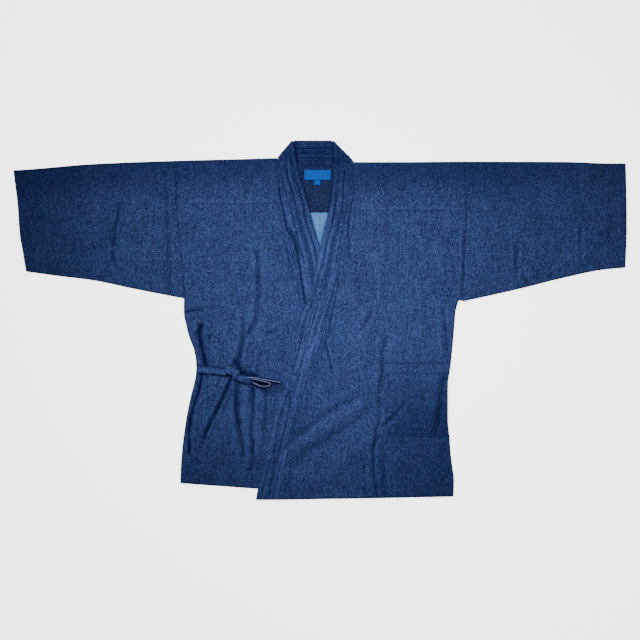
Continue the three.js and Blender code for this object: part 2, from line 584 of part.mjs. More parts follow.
add('body_right', wall(bodyGrid(RIGHT_BODY).all), DENIM);
add('body_left', wall(left.all), DENIM);
add('sleeve_right', wall(sleeveGrid(RIGHT, -1), true), DENIM);
add('sleeve_left', wall(sleeveGrid(LEFT, 1), true), DENIM);
add('collar', strip(collarSections()), DENIM);
const liningTop = (x) => along(NECK_SEAM, x) - LINING_TO_COLLAR;
add('yoke_lining', flatPiece(LINING_ROWS, UNDER_Z, LINING_THICKNESS, 8, liningTop), LINING);
add('neck_label', tag(LABEL, UNDER_Z + LINING_THICKNESS + GAP), LABEL_BLUE);
add('size_tab', tag(TAB, UNDER_Z + LINING_THICKNESS + GAP), LABEL_BLUE);
add('pocket', wall(pocketGrid(left.front)), DENIM);
add('tie_side', tie(TIE_SIDE), DENIM);
add('tie_front', tie(TIE_FRONT), DENIM);
add('tie_loop', tie(TIE_LOOP), DENIM);
add('tie_knot', knot(), DENIM);

export default samue;
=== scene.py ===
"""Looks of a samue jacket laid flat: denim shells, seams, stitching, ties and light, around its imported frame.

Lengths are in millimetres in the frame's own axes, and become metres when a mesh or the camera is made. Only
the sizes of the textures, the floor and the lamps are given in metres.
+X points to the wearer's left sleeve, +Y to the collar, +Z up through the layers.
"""

import math

import bpy
import numpy as np
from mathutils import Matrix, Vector


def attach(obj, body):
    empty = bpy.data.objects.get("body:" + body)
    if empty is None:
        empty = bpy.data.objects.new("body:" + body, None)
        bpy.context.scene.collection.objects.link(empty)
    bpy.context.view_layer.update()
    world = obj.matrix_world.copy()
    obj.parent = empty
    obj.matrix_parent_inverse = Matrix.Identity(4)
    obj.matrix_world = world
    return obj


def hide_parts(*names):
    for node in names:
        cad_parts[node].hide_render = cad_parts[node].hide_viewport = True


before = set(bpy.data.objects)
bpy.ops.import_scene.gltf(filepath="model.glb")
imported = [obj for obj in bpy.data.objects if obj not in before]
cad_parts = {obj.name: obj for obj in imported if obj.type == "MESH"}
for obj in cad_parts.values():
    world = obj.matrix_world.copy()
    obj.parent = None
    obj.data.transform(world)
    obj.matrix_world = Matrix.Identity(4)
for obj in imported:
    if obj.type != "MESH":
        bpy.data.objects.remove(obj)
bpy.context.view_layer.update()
MM = 0.001
scene = bpy.context.scene

# ---------- camera ----------
PICTURE_WIDTH = 1472  # what the picture takes in at the level of the cloth
PICTURE_MIDDLE_Y = 0.6
CLOTH_LEVEL = 4
LENS = 85
SENSOR = 36
VIEW_REACH = 100  # metres, past the whole floor


def add_camera():
    data = bpy.data.cameras.new("camera")
    data.lens = LENS
    data.sensor_width = SENSOR
    data.clip_end = VIEW_REACH
    camera = bpy.data.objects.new("camera", data)
    height = PICTURE_WIDTH * LENS / SENSOR + CLOTH_LEVEL
    camera.location = (0, PICTURE_MIDDLE_Y * MM, height * MM)
    scene.collection.objects.link(camera)
    scene.camera = camera


add_camera()

# ---------- driving dimensions, as in the solids ----------
CLOTH = 1.2
GAP = 0.3
UNDER_Z = CLOTH + GAP
BAND_THICKNESS = 2.4
BAND_Z = 2.8
SEAM_RISE_WIDTH = 45
CROSSING_Z = 5.7
CROSSING_NEAR = 60
CROSSING_FAR = 130
ON_UNDER_FRONT_Z = 3.3
LINING_THICKNESS = 1
LABEL_THICKNESS = 1
LABEL_Z = UNDER_Z + LINING_THICKNESS + GAP
TIE_THICKNESS = 2
OUTLINE_EASE = 1.2  # the cloth's soft outline stands this far outside the clean edges of its solids


def table(names, rows, **offsets):
    """Columns of numbers by name, each with its offset added."""
    columns = np.array(rows, float).T
    return {name: column + offsets.get(name, 0) for name, column in zip(names.split(), columns)}


SHOULDER = table("x y", [
    [-705, 344], [-661, 347], [-523, 358.5], [-331, 366], [-178, 370], [-98, 372],
    [77, 363], [180, 363], [334, 364], [558, 363.5], [673, 360], [703, 360],
], y=OUTLINE_EASE)
SLEEVE_SEAM_RIGHT = table("x y", [
    [-676, 113], [-604, 103], [-523, 93], [-431, 74], [-339, 56], [-312, 51],
], y=-OUTLINE_EASE)
SLEEVE_SEAM_LEFT = table("x y", [
    [327, 44], [374, 54], [466, 75], [558, 98], [650, 117], [702, 122],
], y=-OUTLINE_EASE)
CUFF_RIGHT = table("y x", [
    [113, -676], [156, -683], [197, -690], [266, -695], [308, -700], [344, -705],
], x=-OUTLINE_EASE / 2)
CUFF_LEFT = table("y x", [[122, 702], [142, 703], [218, 705], [359, 703]], x=OUTLINE_EASE / 2)
ARMHOLE_RIGHT = table("y x", [[51, -312], [85, -314], [183, -323], [275, -330], [365, -331]])
ARMHOLE_LEFT = table("y x", [[44, 327], [142, 332], [232, 337], [363, 334]])
SIDE_RIGHT = table("y x", [
    [-371, -320], [-341, -319], [-300, -316], [-231, -307], [-175, -296], [-140, -287], [-118, -283],
    [-82, -285], [-37, -300], [-10, -307], [18, -312], [51, -311.6],
], x=-1.3 * OUTLINE_EASE)
SIDE_LEFT = table("y x", [
    [-405, 306], [-369, 307], [-341, 304], [-313, 300], [-272, 297], [-231, 293], [-148, 293],
    [-106, 299], [-79, 302], [-24, 307], [32, 312], [44, 317],
], x=1.3 * OUTLINE_EASE)
UPPER_FREE_EDGE = table("y x", [
    [-413, -148], [-382, -142], [-311, -124], [-208, -100], [-104, -72], [6, -43], [45, -29], [127, -8],
    [202, 8], [278, 26], [331, 31], [404, 33],
])
UPPER_SEAM = table("y x", [
    [-412, -95], [-311, -74], [-208, -49], [-116, -24], [-37, 6], [4, 12], [52, 24], [94, 37],
    [156, 47], [202, 63], [264, 72], [298, 79], [362, 77],
])
UNDER_FREE_EDGE = table("y x", [
    [-398, 142], [-311, 124], [-208, 100], [-104, 72], [6, 43], [45, 29], [127, 8], [165, 0],
    [223, -17], [298, -36], [333, -48], [383, -57], [404, -61],
])
UNDER_SEAM = table("y x", [
    [-398, 91], [-311, 74], [-208, 49], [-116, 24], [-37, -8], [4, -16], [45, -33], [85, -40],
    [142, -49], [183, -59], [209, -74], [251, -83], [290, -92], [370, -98],
])
NECK_SEAM = table("x y", [[-98, 371], [-60, 366.5], [0, 364], [50, 362], [77, 363]])
NECK_TOP = 412.5 + OUTLINE_EASE
FOLD_RIGHT = {"seam": (-99, 374), "free": (-65.5, NECK_TOP)}
FOLD_LEFT = {"seam": (78.5, 366.2), "free": (31.5, NECK_TOP)}
BAND_SLANT = table("seam rise", [[45, 0], [120, 8], [200, 18], [240, 28], [330, 30], [370, 40]])
BEHIND_NECK = table("seam free", [[-72, -40], [-40, -22], [-10, -8], [22, 8], [50, 20]])

# ---------- relief ----------
BASE_LOFT = 2.1
EDGE_FADE = 28
HEM_LOFT = 0.4  # share of the loft that is left at the hem, and the heights over which it grows to all of it
HEM_FLATTENS = (-440, -350)
WRINKLES = [(46, 80, 0.7, 11), (21, 37, 0.34, 12), (9, 16, 0.13, 13)]  # reach across and down, height, seed
PUFFS = [  # x, y, reach across, reach along, turn in degrees, height
    [-272, -50, 18, 70, 16, 3.4], [-300, -220, 12, 90, 12, 3.0], [-262, -215, 22, 90, -14, 3.6],
    [-225, -260, 18, 110, -20, 3.8], [-188, -255, 14, 110, 2, 3.2], [-165, -250, 12, 110, 2, 3.0],
    [-225, -60, 26, 60, -8, 3.0], [-170, -60, 22, 60, 6, 3.2], [-135, 60, 26, 130, 0, 2.6],
    [-190, 130, 40, 150, 0, 1.6], [10, -255, 24, 110, -55, 3.4], [60, -320, 22, 110, -55, 3.2],
    [-30, -200, 20, 80, -50, 2.4], [110, -120, 34, 110, 0, 2.0], [200, -40, 60, 60, 0, 1.4],
    [262, -200, 20, 110, 2, 3.0], [220, 180, 80, 90, 0, 1.6], [90, 60, 40, 120, 14, 1.8],
    [-500, 190, 60, 100, 0, 1.8], [-400, 200, 50, 110, 0, 1.8], [-590, 230, 50, 90, 0, 1.4],
    [400, 220, 40, 110, 0, 1.8], [490, 170, 36, 90, 0, 2.2], [590, 200, 60, 90, 0, 1.8],
]
# Creases: share of the loft taken away, half-width, height of the rims, how much shade is painted in it, and
# the points from the strong end to the fading one.
CREASES = [
    (0.95, 4, 2.2, 1.2, [
        (-199, -122), (-206, -137), (-222, -176), (-242, -219), (-262, -258), (-270, -288), (-275, -306),
    ]),
    (0.50, 3.4, 0.8, 0.55, [(66, 240), (65, 215), (69, 150), (70, 130)]),
    (0.80, 3.4, 1.0, 1, [(-262, -116), (-262, -126), (-256, -150)]),
    (0.60, 3, 1.0, 0.7, [(-226, -120), (-229, -134), (-240, -160)]),
    (0.80, 5.5, 1.6, 0.6, [(-202, -112), (-190, -96), (-181, -72), (-176, -44), (-175, 4), (-177, 24)]),
    (0.80, 5, 1.0, 0.65, [(-184, -118), (-186, -96), (-182, -70), (-174, -34), (-170, -14)]),
    (0.50, 5, 0.8, 0.3, [(-167, 333), (-167, 289), (-176, 270), (-177, 218)]),
    (0.50, 3.5, 0.6, 0.35, [(-125, -33), (-105, -24), (-77, -17)]),
    (0.60, 3.5, 0.8, 0.55, [(-146, -124), (-139, -96), (-137, -60)]),
    (0.40, 3, 0.4, 0.3, [(-117, -122), (-118, -60)]),
    (0.60, 4, 0.6, 0.35, [(-130, 24), (-129, 6)]),
    (0.75, 5, 1.0, 1, [(-306, 20), (-282, 23), (-258, 24)]),
    (0.50, 4, 0.8, 0.4, [(-306, -4), (-284, 4), (-262, 4)]),
    (0.60, 3.5, 0.8, 0.5, [(-79, 172), (-72, 145), (-66, 117)]),
    (0.75, 5, 1.2, 0.45, [(-478, 160), (-470, 128), (-457, 98)]),
    (0.60, 4.5, 0.8, 0.8, [(101, -334), (101, -366)]),
    (0.55, 5, 0.8, 0.3, [(151, -304), (151, -352), (149, -400)]),
    (0.65, 3, 1.0, 0.5, [(8, -40), (24, -99), (32, -140)]),
    (0.55, 6, 0.9, 0.2, [(120, 25), (106, -12), (72, -44)]),
    (0.50, 3, 0.6, 0.3, [(91, -127), (93, -180)]),
    (0.40, 4, 0.4, 0.15, [(183, 195), (183, 121)]),
    (0.50, 4, 0.6, 0.25, [(158, -122), (160, -201)]),
    (0.70, 5, 1.0, 0.35, [(198, -187), (171, -221), (144, -246), (134, -262)]),
    (0.50, 5, 0.6, 0.3, [(220, -254), (238, -256)]),
    (0.70, 5, 1.0, 0.5, [(300, -352), (277, -382)]),
    (0.85, 4.5, 1.6, 0.5, [(452, 174), (453, 130), (452, 89)]),
    (0.45, 4.5, 0.8, 0.2, [(600, 222), (600, 121)]),
    (0.50, 7, 0.8, 0.15, [(507, 210), (505, 188)]),
    (0.50, 7, 0.8, 0.15, [(507, 108), (505, 88)]),
]
# Lines pressed into the cloth: half-width, painted shade along it (below 0, a painted highlight), and the
# points.
PRESS_LINES = [
    (4.5, 0.45, [(-357, 362), (-351, 200), (-347, 66)]),
    (5, 0.22, [(-597, 345), (-596, 262), (-598, 120)]),
    (6, 0.16, [(-489, 356), (-487, 236), (-489, 150)]),
    (5, 0.2, [(667, 355), (667, 275), (664, 150)]),
    (4, 0.22, [(153, 355), (153, 142), (144, 55)]),
    (5, 0.25, [(-312, -331), (-240, -326), (-165, -322)]),
    (6, -0.13, [(127, 150), (130, 120), (142, 30), (146, 0)]),
    (9.5, 0.55, [(138, -312), (145, -350), (148, -404)]),
    (2.4, 0.5, [(37, 98), (30, 68), (16, 6)]),
    (4, 0.5, [(331, 205), (330, 120), (327, 56)]),
    (3, -0.25, [(322, 225), (321, 150)]),
    (4, 0.3, [(-88, 210), (-74, 150), (-62, 96)]),
    (2.6, 0.8, [(-194, -157), (-195, -190), (-193, -219), (-184, -252), (-180, -275), (-177, -308)]),
    (2.4, 0.72, [(-124, -160), (-124, -200), (-124, -232)]),
    (2.4, 0.6, [(-135, -229), (-130, -252), (-129, -288), (-127, -314)]),
    (2.8, 0.6, [(-160, -319), (-152, -331), (-157, -347), (-166, -352)]),
    (2.6, 0.8, [(135, -262), (123, -290), (122, -345), (127, -380), (131, -408)]),
    (3, 0.6, [(-292, -34), (-285, -28), (-278, -20)]),
    (2.6, 0.4, [(286, -368), (278, -384), (270, -398)]),
]
# Creases that stay strong to their ends, in the same terms.
DEEP_CREASES = [
    (0.85, 2.8, 1.2, 1.1, [(-476, 166), (-473, 190), (-469, 218), (-465, 238), (-463, 258)]),
    (0.95, 6.5, 2.4, 1.25, [(-261, -114), (-266, -92), (-272, -70), (-275, -45), (-277, -25), (-270, -4)]),
    (0.95, 5.5, 2.4, 1.2, [
        (-267, -114), (-270, -126), (-279, -160), (-293, -202), (-300, -236), (-301, -278), (-302, -316),
    ]),
    (0.85, 7, 1.4, 0.55, [(-189, -140), (-190, -168), (-190, -212), (-184, -256), (-178, -300)]),
    (0.85, 7, 1.4, 0.7, [(-154, -150), (-154, -160), (-154, -176), (-156, -201)]),
    (0.80, 5.5, 1.4, 0.5, [(-154, -170), (-156, -247), (-154, -290), (-153, -330), (-162, -350)]),
    (0.50, 5, 0.6, 0.42, [(-126, -150), (-125, -190), (-127, -250), (-128, -322)]),
    (0.85, 6.5, 0.6, 0.42, [(-143, 165), (-141, 94), (-143, 18), (-146, -3), (-160, -22), (-166, -44)]),
    (0.80, 7, 0.4, 0.32, [(152, -40), (147, -62), (147, -104), (144, -139), (138, -175)]),
    (0.80, 5, 1.0, 0.38, [
        (138, -170), (138, -225), (132, -254), (128, -280), (122, -306), (124, -345), (131, -412),
    ]),
    (0.60, 3, 0.5, 0.45, [(45, 112), (40, 70), (32, 30), (24, -8)]),
    (0.60, 5, 1.2, 0.6, [(284, 30), (288, -12), (292, -74)]),
    (0.90, 7.5, 1.4, 0.7, [(286, -124), (279, -180), (274, -221), (270, -262)]),
    (0.85, 10, 0.4, 0.2, [(96, -174), (54, -192), (24, -210), (-17, -242), (-55, -270), (-86, -300)]),
    (0.80, 13, 0.4, 0.14, [(116, -210), (84, -236), (46, -262), (0, -288), (-40, -312), (-66, -346)]),
]
CREASE_CORE = 0.6  # half-width of the painted shade line in a crease, as a share of the crease's own half-width
CREASE_START = 0.12  # shares of its length over which a crease sets in and fades out
CREASE_FADE = 0.4
CREASE_WAVER = 0.25  # how far a crease strays from its points, as a share of its half-width
TIE_ROUTE = [(-283, -113), (-243, -117), (-193, -126), (-112, -145)]
TIE_PRESS = 16  # how far beside this route the ties hold the cloth down

# Ties: each section's middle, its lean from flat (0) to standing on its edge (90), and its width.
TIE_COLUMNS = "x y z lean width"
TIE_SIDE = table(TIE_COLUMNS, [
    [-281, -114, 5.6, 0, 15], [-268, -114, 6.2, 0, 15], [-254, -115.5, 6.8, 0, 15], [-240, -117, 7.4, 0, 15],
    [-226, -119, 8, 0, 14], [-214, -121, 8.8, 0, 13],
])
TIE_FRONT = table(TIE_COLUMNS, [
    [-168, -134, 11, 60, 12], [-158, -132.5, 12.4, 78, 13], [-146, -133, 12.4, 86, 14],
    [-130, -136, 11.4, 88, 14], [-112, -139, 11.2, 88, 14], [-96, -142, 11.6, 88, 14],
    [-89.5, -143.4, 12, 86, 14],
])
TIE_LOOP = table(TIE_COLUMNS, [
    [-171, -137, 8.2, 10, 11], [-162, -136.5, 9.4, 40, 12], [-152, -136.5, 11.4, 76, 13],
    [-136, -139, 11.8, 88, 14], [-121, -142, 11.6, 90, 14], [-113.5, -146, 11.5, 90, 14],
    [-118, -150.5, 11.5, 90, 14], [-130, -152, 11.5, 92, 14], [-144, -148.5, 11.4, 98, 13.5],
    [-156, -144, 10.8, 118, 13],
])
# The knot is three lumps of the ties' cloth: the side tie rising, the wrap across it, the end under the loop.
KNOT_LUMPS = table("x y z length width height lean", [
    [-204, -117.5, 10.4, 32, 18, 10, -22],
    [-193, -125, 11.6, 24, 13, 12, 58],
    [-175, -136.5, 11, 36, 15, 11, -18],
])
# Painted shadow in the deep cloth above the knot, and inside the loop.
KNOT_SHADOW = [(-192, -96), (-185, -112), (-180, -121), (-164, -125), (-148, -129)]
LOOP_SHADOW = [(-156, -140.5), (-121, -147)]
OUTLINE_DARK = 0.95  # painted shade at the cloth's outermost edge, which turns down and out of the light
OUTLINE_WIDTH = 2.5


# ---------- plain mathematics ----------
def mix(a, b, t):
    return a + (b - a) * t


def smooth(low, high, value):
    t = np.clip((value - low) / (high - low), 0, 1)
    return t * t * (3 - 2 * t)


def bell(t):
    return np.exp(-t * t)


def deepen(shade, value):
    """The darker of two painted shades, where a painted highlight (below 0) gives way as the other grows."""
    return np.maximum(shade, value) + np.minimum(shade, 0) * (1 - np.clip(4 * value, 0, 1))


def marked(shade, marks):
    """Painted shade with dark lines painted in, each from how dark it is, the distance to it, and its
    half-width.
    """
    for dark, distance, width in marks:
        shade = deepen(shade, dark * bell(distance / width))
    return shade


def places(x, y, z):
    """Points from their three coordinates, any of which may be one number."""
    return np.stack(np.broadcast_arrays(x, y, z), -1)


def along(rows, at):
    """A table's second column at places along its first, by the same smooth curve as in the solids."""
    keys, values = list(rows.values())[:2]
    at = np.clip(np.asarray(at, float), keys[0], keys[-1])
    i = np.clip(np.searchsorted(keys, at, side="right") - 1, 0, len(keys) - 2)
    slope = np.diff(values) / np.diff(keys)
    before, after = slope[:-1], slope[1:]
    total = before + after
    safe = np.where(before * after > 0, total, 1)
    middle = np.where(before * after > 0, 2 * before * after / safe, 0)
    tangent = np.concatenate([slope[:1], middle, slope[-1:]])
    span = keys[i + 1] - keys[i]
    t = (at - keys[i]) / span
    return (
        values[i] * (1 + 2 * t) * (1 - t) ** 2
        + values[i + 1] * t * t * (3 - 2 * t)
        + tangent[i] * span * t * (1 - t) ** 2
        + tangent[i + 1] * span * t * t * (t - 1)
    )


def to_line(points, x, y):
    """Distance to a line of points, and how far along it the nearest place is, from 0 to 1."""
    best = np.full(np.shape(x), 1e9)
    share = np.zeros(np.shape(x))
    count = len(points) - 1
    for i, ((ax, ay), (bx, by)) in enumerate(zip(points, points[1:])):
        t = np.clip(((x - ax) * (bx - ax) + (y - ay) * (by - ay)) / ((bx - ax) ** 2 + (by - ay) ** 2), 0, 1)
        distance = np.hypot(x - mix(ax, bx, t), y - mix(ay, by, t))
        nearer = distance < best
        best = np.where(nearer, distance, best)
        share = np.where(nearer, (i + t) / count, share)
    return best, share


def soft_noise(x, y, seed):
    """Smooth noise between -1 and 1 with one swell to each unit."""
    rng = np.random.RandomState(seed)
    lattice = rng.uniform(-1, 1, (64, 64))
    column, row = np.floor(x).astype(int), np.floor(y).astype(int)
    u, v = x - column, y - row
    u, v = u * u * (3 - 2 * u), v * v * (3 - 2 * v)

    def corner(dx, dy):
        return lattice[(row + dy) % 64, (column + dx) % 64]

    low = mix(corner(0, 0), corner(1, 0), u)
    high = mix(corner(0, 1), corner(1, 1), u)
    return mix(low, high, v)


# ---------- heights ----------
RIGHT = {
    "side": -1, "armhole": ARMHOLE_RIGHT, "side_seam": SIDE_RIGHT,
    "sleeve_seam": SLEEVE_SEAM_RIGHT, "cuff": CUFF_RIGHT,
}
LEFT = {
    "side": 1, "armhole": ARMHOLE_LEFT, "side_seam": SIDE_LEFT,
    "sleeve_seam": SLEEVE_SEAM_LEFT, "cuff": CUFF_LEFT,
}
LAP_FLAT = (4, 26)  # how far under the upper front's edge the under front's own relief begins and is whole
EDGE_FLAT = 30  # how far from its free edge the upper front's relief is whole


def underarm(half):
    return half["armhole"]["y"][0]


def outer_edge(half, y):
    return np.where(y > underarm(half), along(half["armhole"], y), along(half["side_seam"], y))


def edge_fade_on(half, x, y):
    """How much of its loft the cloth keeps near the edges of one half of the jacket."""
    top = along(SHOULDER, x) - y
    beyond = np.abs(x) - np.abs(along(half["armhole"], np.maximum(y, underarm(half))))
    seam = y - along(half["sleeve_seam"], x)
    side = np.abs(along(half["side_seam"], y)) - np.abs(x)
    low = np.where(beyond > 0, seam, np.maximum(side, y - underarm(half)))
    hem = mix(HEM_LOFT, 1, smooth(*HEM_FLATTENS, y))
    return smooth(0, EDGE_FADE, top) * smooth(0, EDGE_FADE, low) * hem


def edge_fade(x, y):
    return np.where(x < 0, edge_fade_on(RIGHT, x, y), edge_fade_on(LEFT, x, y))


def wrinkles(x, y):
    """Small unevenness of the cloth, above and below its mean."""
    return sum(height * soft_noise(x / across, y / down, seed) for across, down, height, seed in WRINKLES)


def crease_relief(number, crease, x, y):
    """One crease: rims' height, share of the loft it leaves, its painted shade, and its rims' painted
    highlight.
    """
    cut, width, rim, dark, points = crease
    fading = number < len(CREASES)
    waver = soft_noise(y / 14, x / 14, 30 + number) * CREASE_WAVER * width
    distance, share = to_line(points, x + waver, y)
    fade = CREASE_FADE if fading else CREASE_START
    strength = smooth(0, CREASE_START, share + 0.04) * smooth(0, fade, 1.03 - share)
    uneven = 1 + 0.25 * soft_noise(share * len(points) * 1.3, number, 61)
    if fading:
        uneven = uneven * (1.1 - 0.45 * share)
    beside = bell((distance - 2 * width) / width) * strength
    core = np.minimum(1, 1.25 * bell(distance / (CREASE_CORE * width * uneven))) * strength
    slope = 0.5 * max(0, dark - 0.5) * bell(distance / (2.6 * width)) * strength
    inside = 0.5 * bell(distance / width) * strength + 0.5 * core
    raised = rim * beside * (distance < 6 * width)
    painted_highlight = 0.3 * min(dark, 0.8) * beside * uneven
    return raised, 1 - cut * inside, np.maximum(dark * core * uneven, slope), painted_highlight


def relief_and_shade(x, y):
    """Height above the flat cloth, and painted shade: above 0 in a crease, below 0 a painted highlight on its
    rims.
    """
    loft = BASE_LOFT + wrinkles(x, y)
    for px, py, across_reach, along_reach, turn, height in PUFFS:
        c, s = math.cos(math.radians(turn)), math.sin(math.radians(turn))
        across = (x - px) * c + (y - py) * s
        lengthways = (y - py) * c - (x - px) * s
        loft = loft + height * bell(np.hypot(across / across_reach, lengthways / along_reach))
    loft_kept = np.ones(np.shape(x))
    shade = np.zeros(np.shape(x))
    painted_highlight = np.zeros(np.shape(x))
    for number, crease in enumerate(CREASES + DEEP_CREASES):
        raised, kept, dark, lit = crease_relief(number, crease, x, y)
        loft = loft + raised
        loft_kept = loft_kept * kept
        shade = np.maximum(shade, dark)
        painted_highlight = np.maximum(painted_highlight, lit)
    pressed = bell(to_line(TIE_ROUTE, x, y)[0] / TIE_PRESS)
    for width, dark, points in PRESS_LINES:
        line = bell(to_line(points, x, y)[0] / width) * (1 + 0.3 * soft_noise(y / 30, x / 30, 62))
        shade = np.maximum(shade, dark * line)
        painted_highlight = np.maximum(painted_highlight, -dark * line)
    shade = np.minimum(shade, 1)
    return loft * loft_kept * (1 - 0.8 * pressed), shade - painted_highlight * (1 - shade)


def edge_shade(x, y):
    """Painted shade: at the shoulder fold, beside an armhole, at a cuff and towards the hem."""
    top = along(SHOULDER, x) - y
    fold = 0.54 * (1 - smooth(0, 105, top)) * (1 - 0.4 * smooth(300, 620, x)) + 0.35 * bell(top / 2.2)
    low_left = 0.22 * smooth(-100, -280, x) * smooth(-240, -340, y)
    low_right = 0.42 * smooth(70, 270, x) * smooth(-90, -320, y) + 0.06 * smooth(-260, -400, y)
    cuff = 0.34 * smooth(-440, -690, x)
    arm = 0.08 * bell((x - 410) / 80)
    light = 1
    for part in (fold, low_left, low_right, cuff, arm):
        light = light * (1 - part)
    return 1 - light


def tie_shadow(x, y):
    """Painted shadow that the ties, the knot and the loop throw on the cloth beside them."""

    def distance(rows):
        return to_line(list(zip(rows["x"], rows["y"])), x, y)[0]

    return np.maximum.reduce([
        0.85 * bell((distance(TIE_SIDE) - 8) / 2.4),
        0.3 * bell((distance(KNOT_LUMPS) - 8) / 4),
        0.8 * bell((distance(TIE_FRONT) - 1) / 3),
        0.8 * bell((distance(TIE_LOOP) - 1) / 3),
        0.95 * bell(to_line(KNOT_SHADOW, x, y)[0] / 8),
        bell(to_line(LOOP_SHADOW, x, y)[0] / 8),
    ])


def under_front(x, y):
    """Height of the under front's lower face, and its painted shade. The next two functions say the same."""
    rise = (BAND_Z - UNDER_Z) * (1 - smooth(0, SEAM_RISE_WIDTH, along(UNDER_SEAM, y) - x))
    beyond_edge = along(UPPER_FREE_EDGE, y) - x
    covered = smooth(*LAP_FLAT, beyond_edge)
    height, shade = relief_and_shade(x, y)
    # painted shadow beside the upper front's free edge and beside the ties
    shade = deepen(shade * covered, 0.5 * smooth(-60, 60, y) * bell((beyond_edge - 1) / 3))
    shade = deepen(shade, tie_shadow(x, y))
    return UNDER_Z + rise + height * edge_fade(x, y) * covered, deepen(shade, edge_shade(x, y))


def upper_front(x, y):
    from_under_collar = x - (along(UNDER_SEAM, y) + along(UNDER_FREE_EDGE, y)) / 2
    rise = (BAND_Z - UNDER_Z) * (1 - smooth(0, SEAM_RISE_WIDTH, x - along(UPPER_SEAM, y)))
    crossing = CROSSING_Z * (1 - smooth(CROSSING_NEAR, CROSSING_FAR, np.abs(from_under_collar)))
    on_under_front = np.where(from_under_collar < 0, ON_UNDER_FRONT_Z, 0)
    free_edge = smooth(0, EDGE_FLAT, x - along(UPPER_FREE_EDGE, y))
    height, shade = relief_and_shade(x, y)
    base = np.maximum(np.maximum(UNDER_Z + rise, on_under_front), crossing)
    return base + height * edge_fade(x, y) * free_edge, deepen(shade * free_edge, edge_shade(x, y))


def sleeve_front(x, y):
    height, shade = relief_and_shade(x, y)
    return UNDER_Z + height * edge_fade(x, y), deepen(shade, edge_shade(x, y))


# ---------- meshes ----------
EDGE_POINTS = (0, 0.5, 1.2, 2.4)  # places of the closer points beside an edge


def new_object(name, vertices, faces, materials, face_material=None, shade=None):
    mesh = bpy.data.meshes.new(name)
    faces = faces if isinstance(faces, list) else faces.tolist()
    mesh.from_pydata((np.asarray(vertices) * MM).tolist(), [], faces)
    for material in materials:
        mesh.materials.append(material)
    if face_material is not None:
        mesh.polygons.foreach_set("material_index", np.asarray(face_material, np.int32))
    mesh.polygons.foreach_set("use_smooth", np.ones(len(mesh.polygons), bool))
    # the crease attribute carries painted shade (above 0) and painted highlight (below 0) for the denim's
    # colour
    if shade is not None:
        layer = mesh.attributes.new("crease", "FLOAT", "POINT")
        layer.data.foreach_set("value", np.asarray(shade, np.float32))
    mesh.validate()
    obj = bpy.data.objects.new(name, mesh)
    scene.collection.objects.link(obj)
    return obj


def grid_faces(rows, columns, start, flip, closed_rows=False):
    r = np.arange(rows if closed_rows else rows - 1)[:, None]
    c = np.arange(columns - 1)[None, :]
    a = start + r * columns + c
    b = start + ((r + 1) % rows) * columns + c
    quads = np.stack([a, a + 1, b + 1, b], -1).reshape(-1, 4)
    return quads[:, ::-1] if flip else quads


def shell(name, out, inner, shade, inner_shade, materials, ring=False, flip=False):
    """A closed cloth from the grids of its two faces. materials are those of the outer and inner face."""
    rows, columns = out.shape[:2]
    count = rows * columns
    vertices = np.concatenate([out.reshape(-1, 3), inner.reshape(-1, 3)])
    outer_faces = grid_faces(rows, columns, 0, flip, ring)
    inner_faces = grid_faces(rows, columns, count, not flip, ring)

    def rim(indices, reverse):
        a, b = indices[:-1], indices[1:]
        quads = np.stack([a, b, b + count, a + count], -1)
        return quads[:, ::-1] if reverse != flip else quads

    first = np.arange(rows + (1 if ring else 0)) % rows * columns
    rims = [rim(first, False), rim(first + columns - 1, True)]
    if not ring:
        rims += [rim(np.arange(columns), True), rim(np.arange(columns) + (rows - 1) * columns, False)]
    faces = np.concatenate([outer_faces, inner_faces, *rims])
    slots = np.zeros(len(faces), int)
    slots[len(outer_faces):len(outer_faces) + len(inner_faces)] = 1
    both = np.concatenate([shade.reshape(-1), inner_shade.reshape(-1)])
    return new_object(name, vertices, faces, materials, slots, both)


def spaced(length, step):
    """Shares from 0 to 1, a step apart, with closer ones at both ends for a rounded edge."""
    count = max(2, int(round(length / step)))
    near = np.array(EDGE_POINTS)
    inner = np.linspace(near[-1] + step, length - near[-1] - step, count)
    return np.concatenate([near, inner, length - near[::-1]]) / length


def rounding(distance, radius):
    """How far a face drops towards a rounded edge."""
    t = np.clip(1 - distance / radius, 0, 1)
    return radius * (1 - np.sqrt(1 - t * t * 0.999))


def joined(parts):
    """The grids and shades of one piece's two faces, from those of its parts in their order."""
    return [np.concatenate(grids) for grids in zip(*parts)]


# ---------- body ----------
FINE = 3.2  # spacing of the cloth's points
BODY_ACROSS = 1.95  # and on the body, across and down it, where the creases are
BODY_DOWN = 3.0
BACK_DOWN = 24  # and down the flat back
BODY_WIDTH = 310
TURN_STEPS = np.radians(np.linspace(-82, 82, 9))
# painted shade on a turn of the cloth over a fold
FOLD_SHADE = 0.6
HEM_DEPTH_UNDER = 15
HEM_DEPTH_UPPER = 21
YOKE_LINE_RIGHT = 271  # heights of the row of stitches that holds the lining across each shoulder
YOKE_LINE_LEFT = 255
YOKE_LINE_DROP = 3  # from that row to the groove below it, with painted shade along it
SEAM_TOPSTITCH = 12  # from the collar seam to the row of stitches beside it
FAR_OFF = 99  # more than any line's reach
ALLOWANCE = (13, 10)  # the doubled cloth beside an armhole ends between these distances from it
ALLOWANCE_RISE = 0.35
HEM_RISE = 0.4
GROOVE = 0.35  # depth and half-width of the groove along a row of stitches
GROOVE_WIDTH = 1.6
FRONT_ROWS_RIGHT = table("outer middle", [
    [51, 44], [30, 14], [-12, -36], [-56, -80], [-100, -120], [-146, -164], [-200, -220], [-262, -286],
    [-332, -360], [-375, -405],
])
FRONT_ROWS_LEFT = table("outer middle", [
    [44, 30], [-8, -28], [-66, -76], [-99, -100], [-178, -178], [-268, -268], [-332, -332], [-366, -366],
    [-406, -413],
])
